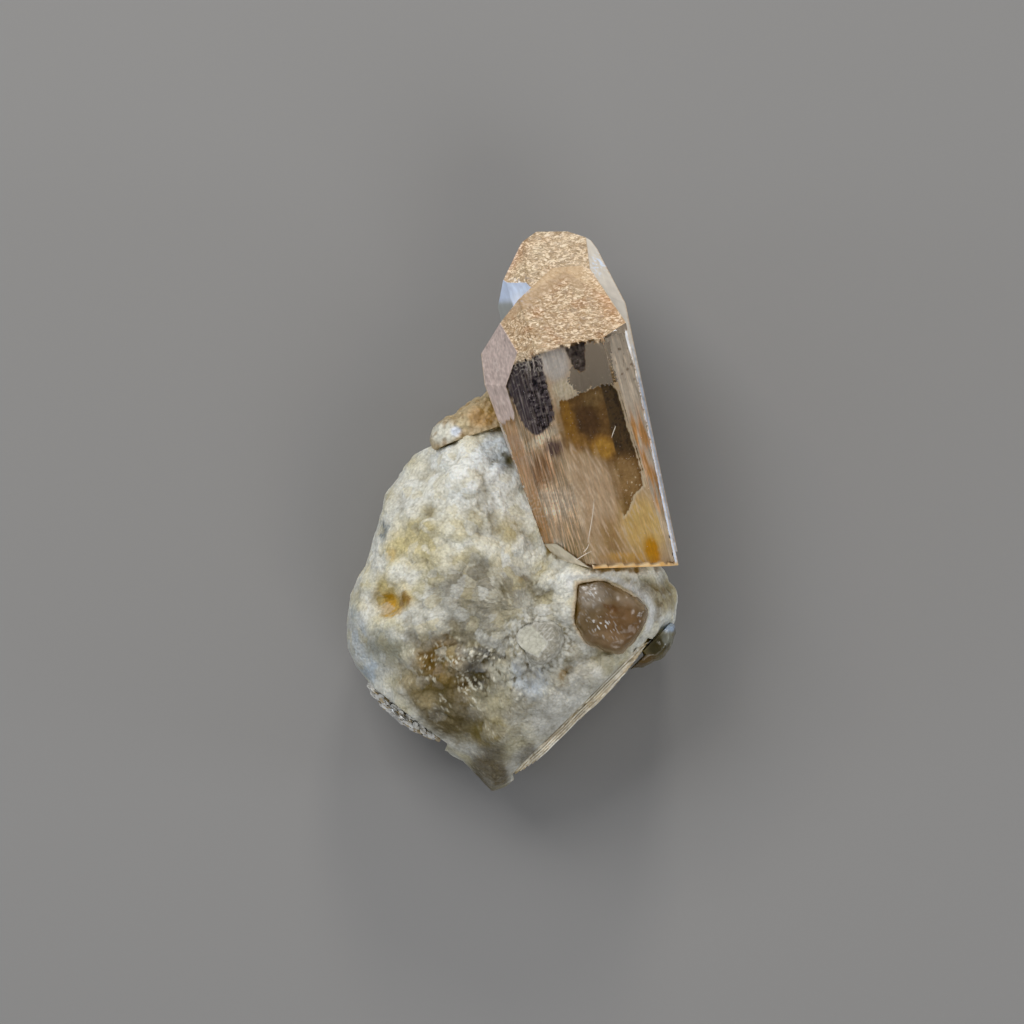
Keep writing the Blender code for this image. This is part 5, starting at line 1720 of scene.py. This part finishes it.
# The ranges of a speck's place up the face, its share across the face, and its radius.
SPECK_LOW = (-4.5, -0.3, 0.018)
SPECK_HIGH = (15.5, 1.0, 0.045)
FACE_SLANT = 0.265
FACE_WIDTH = 7.4
SPECK_CORNERS = ((1, 0, 0), (0, 1, 0), (-1, 0, 0), (0, -1, 0), (0, 0, 1), (0, 0, -1))
SPECK_FACES = (
    (0, 1, 4), (1, 2, 4), (2, 3, 4), (3, 0, 4), (1, 0, 5), (2, 1, 5), (3, 2, 5), (0, 3, 5),
)
HAIRS = (
    ((8.15, 1.3), (7.95, -0.6), (7.7, -2.0), (7.5, -3.1)),
    ((7.95, -3.9), (7.3, -4.2), (6.8, -4.5), (6.3, -4.8)),
    ((7.6, -3.2), (7.5, -3.5), (7.3, -3.8), (7.05, -4.0)),
    ((9.9, 7.4), (10.0, 7.8), (10.15, 8.2), (10.3, 8.6)),
)


def hair(route):
    """A thin tube: a ring carried along a smooth curve through the route's points."""
    route = np.array(route)
    t = np.linspace(0, 1, HAIR_ALONG)
    knots = np.linspace(0, 1, len(route))
    plan = np.column_stack([np.polyval(np.polyfit(knots, route[:, i], 3), t) for i in range(2)])
    z = plane_height(plan, m_right) + HAIR_RADIUS
    line = np.column_stack((plan, z + 0.05 * np.sin(t * 7.0) ** 2))
    way = unit(np.gradient(line, axis=0))
    side = unit(np.cross(way, (0.0, 0.0, 1.0)))
    over = np.cross(side, way)
    angle = np.linspace(0, 2 * math.pi, HAIR_SIDES, endpoint=False)
    thin = HAIR_RADIUS * (0.35 + 0.65 * np.sin(t * math.pi) ** 0.5)
    ring = np.cos(angle)[:, None] * side[:, None] + np.sin(angle)[:, None] * over[:, None]
    return (line[:, None] + ring * thin[:, None, None]).reshape(-1, 3)


hair_parts = [close_lump(hair(route), HAIR_SIDES) for route in HAIRS]
speck_draw = np.random.default_rng(9)
for speck in range(SPECK_COUNT):
    far, over, radius = speck_draw.uniform(SPECK_LOW, SPECK_HIGH)
    ridge = FRONT_RIDGE[1][0] - FACE_SLANT * (far - FRONT_RIDGE[1][1])
    spot = np.array((ridge + FACE_WIDTH * over, far + 1.2 * max(over, 0)))
    middle = np.array((*spot, under_faces(spot[None], 0.0)[0] + radius * 0.6))
    hair_parts.append((middle + radius * np.array(SPECK_CORNERS), SPECK_FACES))
hairs = mesh_object("dust_fibres", *joined(hair_parts))
hair_material, hair_tree, hair_shader = new_material("pale_fibre", Roughness=0.6)
hair_noise = add_node(hair_tree, "ShaderNodeTexNoise", {"Scale": 900.0})
hair_tint = add_node(hair_tree, "ShaderNodeValToRGB", {"Fac": hair_noise.outputs["Fac"]})
hair_tint.color_ramp.elements[0].color = (0.62, 0.52, 0.40, 1.0)
hair_tint.color_ramp.elements[1].color = (0.95, 0.90, 0.82, 1.0)
hair_tree.links.new(hair_tint.outputs["Color"], hair_shader.inputs["Base Color"])
hair_place = add_node(hair_tree, "ShaderNodeTexCoord")
hair_tree.links.new(hair_place.outputs["Object"], hair_noise.inputs["Vector"])
hairs.data.materials.append(hair_material)
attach(hairs, "root")

# The room
# A grey table top, one soft light from the upper left, a smaller one beyond the
# crystals' ends that makes the frosted ends glitter, a rim light on either side, and
# a fill from the lower right.

FLOOR_SIZE = 900.0
TABLE_SPAN = 102.4
CAMERA_DISTANCE = 1000.0
CAMERA_LEVEL = 20.0
CAMERA_PLACE = (-0.05, 0.0)
# The height that the lights point at.
LIGHT_AIM = 12.0

floor = mesh_object(
    "table_top",
    [(x * FLOOR_SIZE, y * FLOOR_SIZE, -0.02) for x, y in ((-1, -1), (1, -1), (1, 1), (-1, 1))],
    [(0, 1, 2, 3)], smooth=False,
)
floor.data.materials.append(
    new_material("grey_paper", Base_Color=(0.25, 0.244, 0.238, 1.0), Roughness=0.8)[0]
)

world = bpy.data.worlds.new("soft_room")
world.use_nodes = True
world.node_tree.nodes["Background"].inputs["Color"].default_value = (0.92, 0.95, 1.0, 1.0)
world.node_tree.nodes["Background"].inputs["Strength"].default_value = 0.50
bpy.context.scene.world = world

# Each light: (name, azimuth from +X, elevation, distance, width, watts, colour).
LIGHTS = (
    ("key", 125, 48, 500, 260, 1.25, (1.0, 0.985, 0.96)),
    ("beyond_the_ends", 84, 27, 480, 90, 0.60, (1.0, 0.97, 0.90)),
    ("left_rim", 185, 18, 500, 160, 0.34, (0.80, 0.90, 1.0)),
    ("right_rim", -8, 14, 500, 120, 0.42, (0.88, 0.94, 1.0)),
    ("low_fill", -62, 40, 500, 260, 0.55, (1.0, 0.98, 0.96)),
)
for name, azimuth, elevation, distance, width, watts, colour in LIGHTS:
    light = bpy.data.lights.new(name, "AREA")
    light.energy = watts
    light.size = width * MM
    light.color = colour
    lamp = bpy.data.objects.new(name, light)
    around, up = math.radians(azimuth), math.radians(elevation)
    way = Vector((math.cos(up) * math.cos(around), math.cos(up) * math.sin(around), math.sin(up)))
    lamp.location = way * distance * MM + Vector((0, 0, LIGHT_AIM * MM))
    lamp.rotation_euler = way.to_track_quat("Z", "Y").to_euler()
    lamp.visible_camera = False
    bpy.context.scene.collection.objects.link(lamp)

camera_data = bpy.data.cameras.new("looking_down")
camera_data.sensor_width = 36.0
camera_data.lens = 36.0 * CAMERA_DISTANCE / TABLE_SPAN
camera_data.clip_end = 10.0
camera = bpy.data.objects.new("looking_down", camera_data)
camera.location = (
    CAMERA_PLACE[0] * MM, CAMERA_PLACE[1] * MM, (CAMERA_DISTANCE + CAMERA_LEVEL) * MM
)
bpy.context.scene.collection.objects.link(camera)
bpy.context.scene.camera = camera
bpy.context.scene.view_settings.view_transform = "Khronos PBR Neutral"
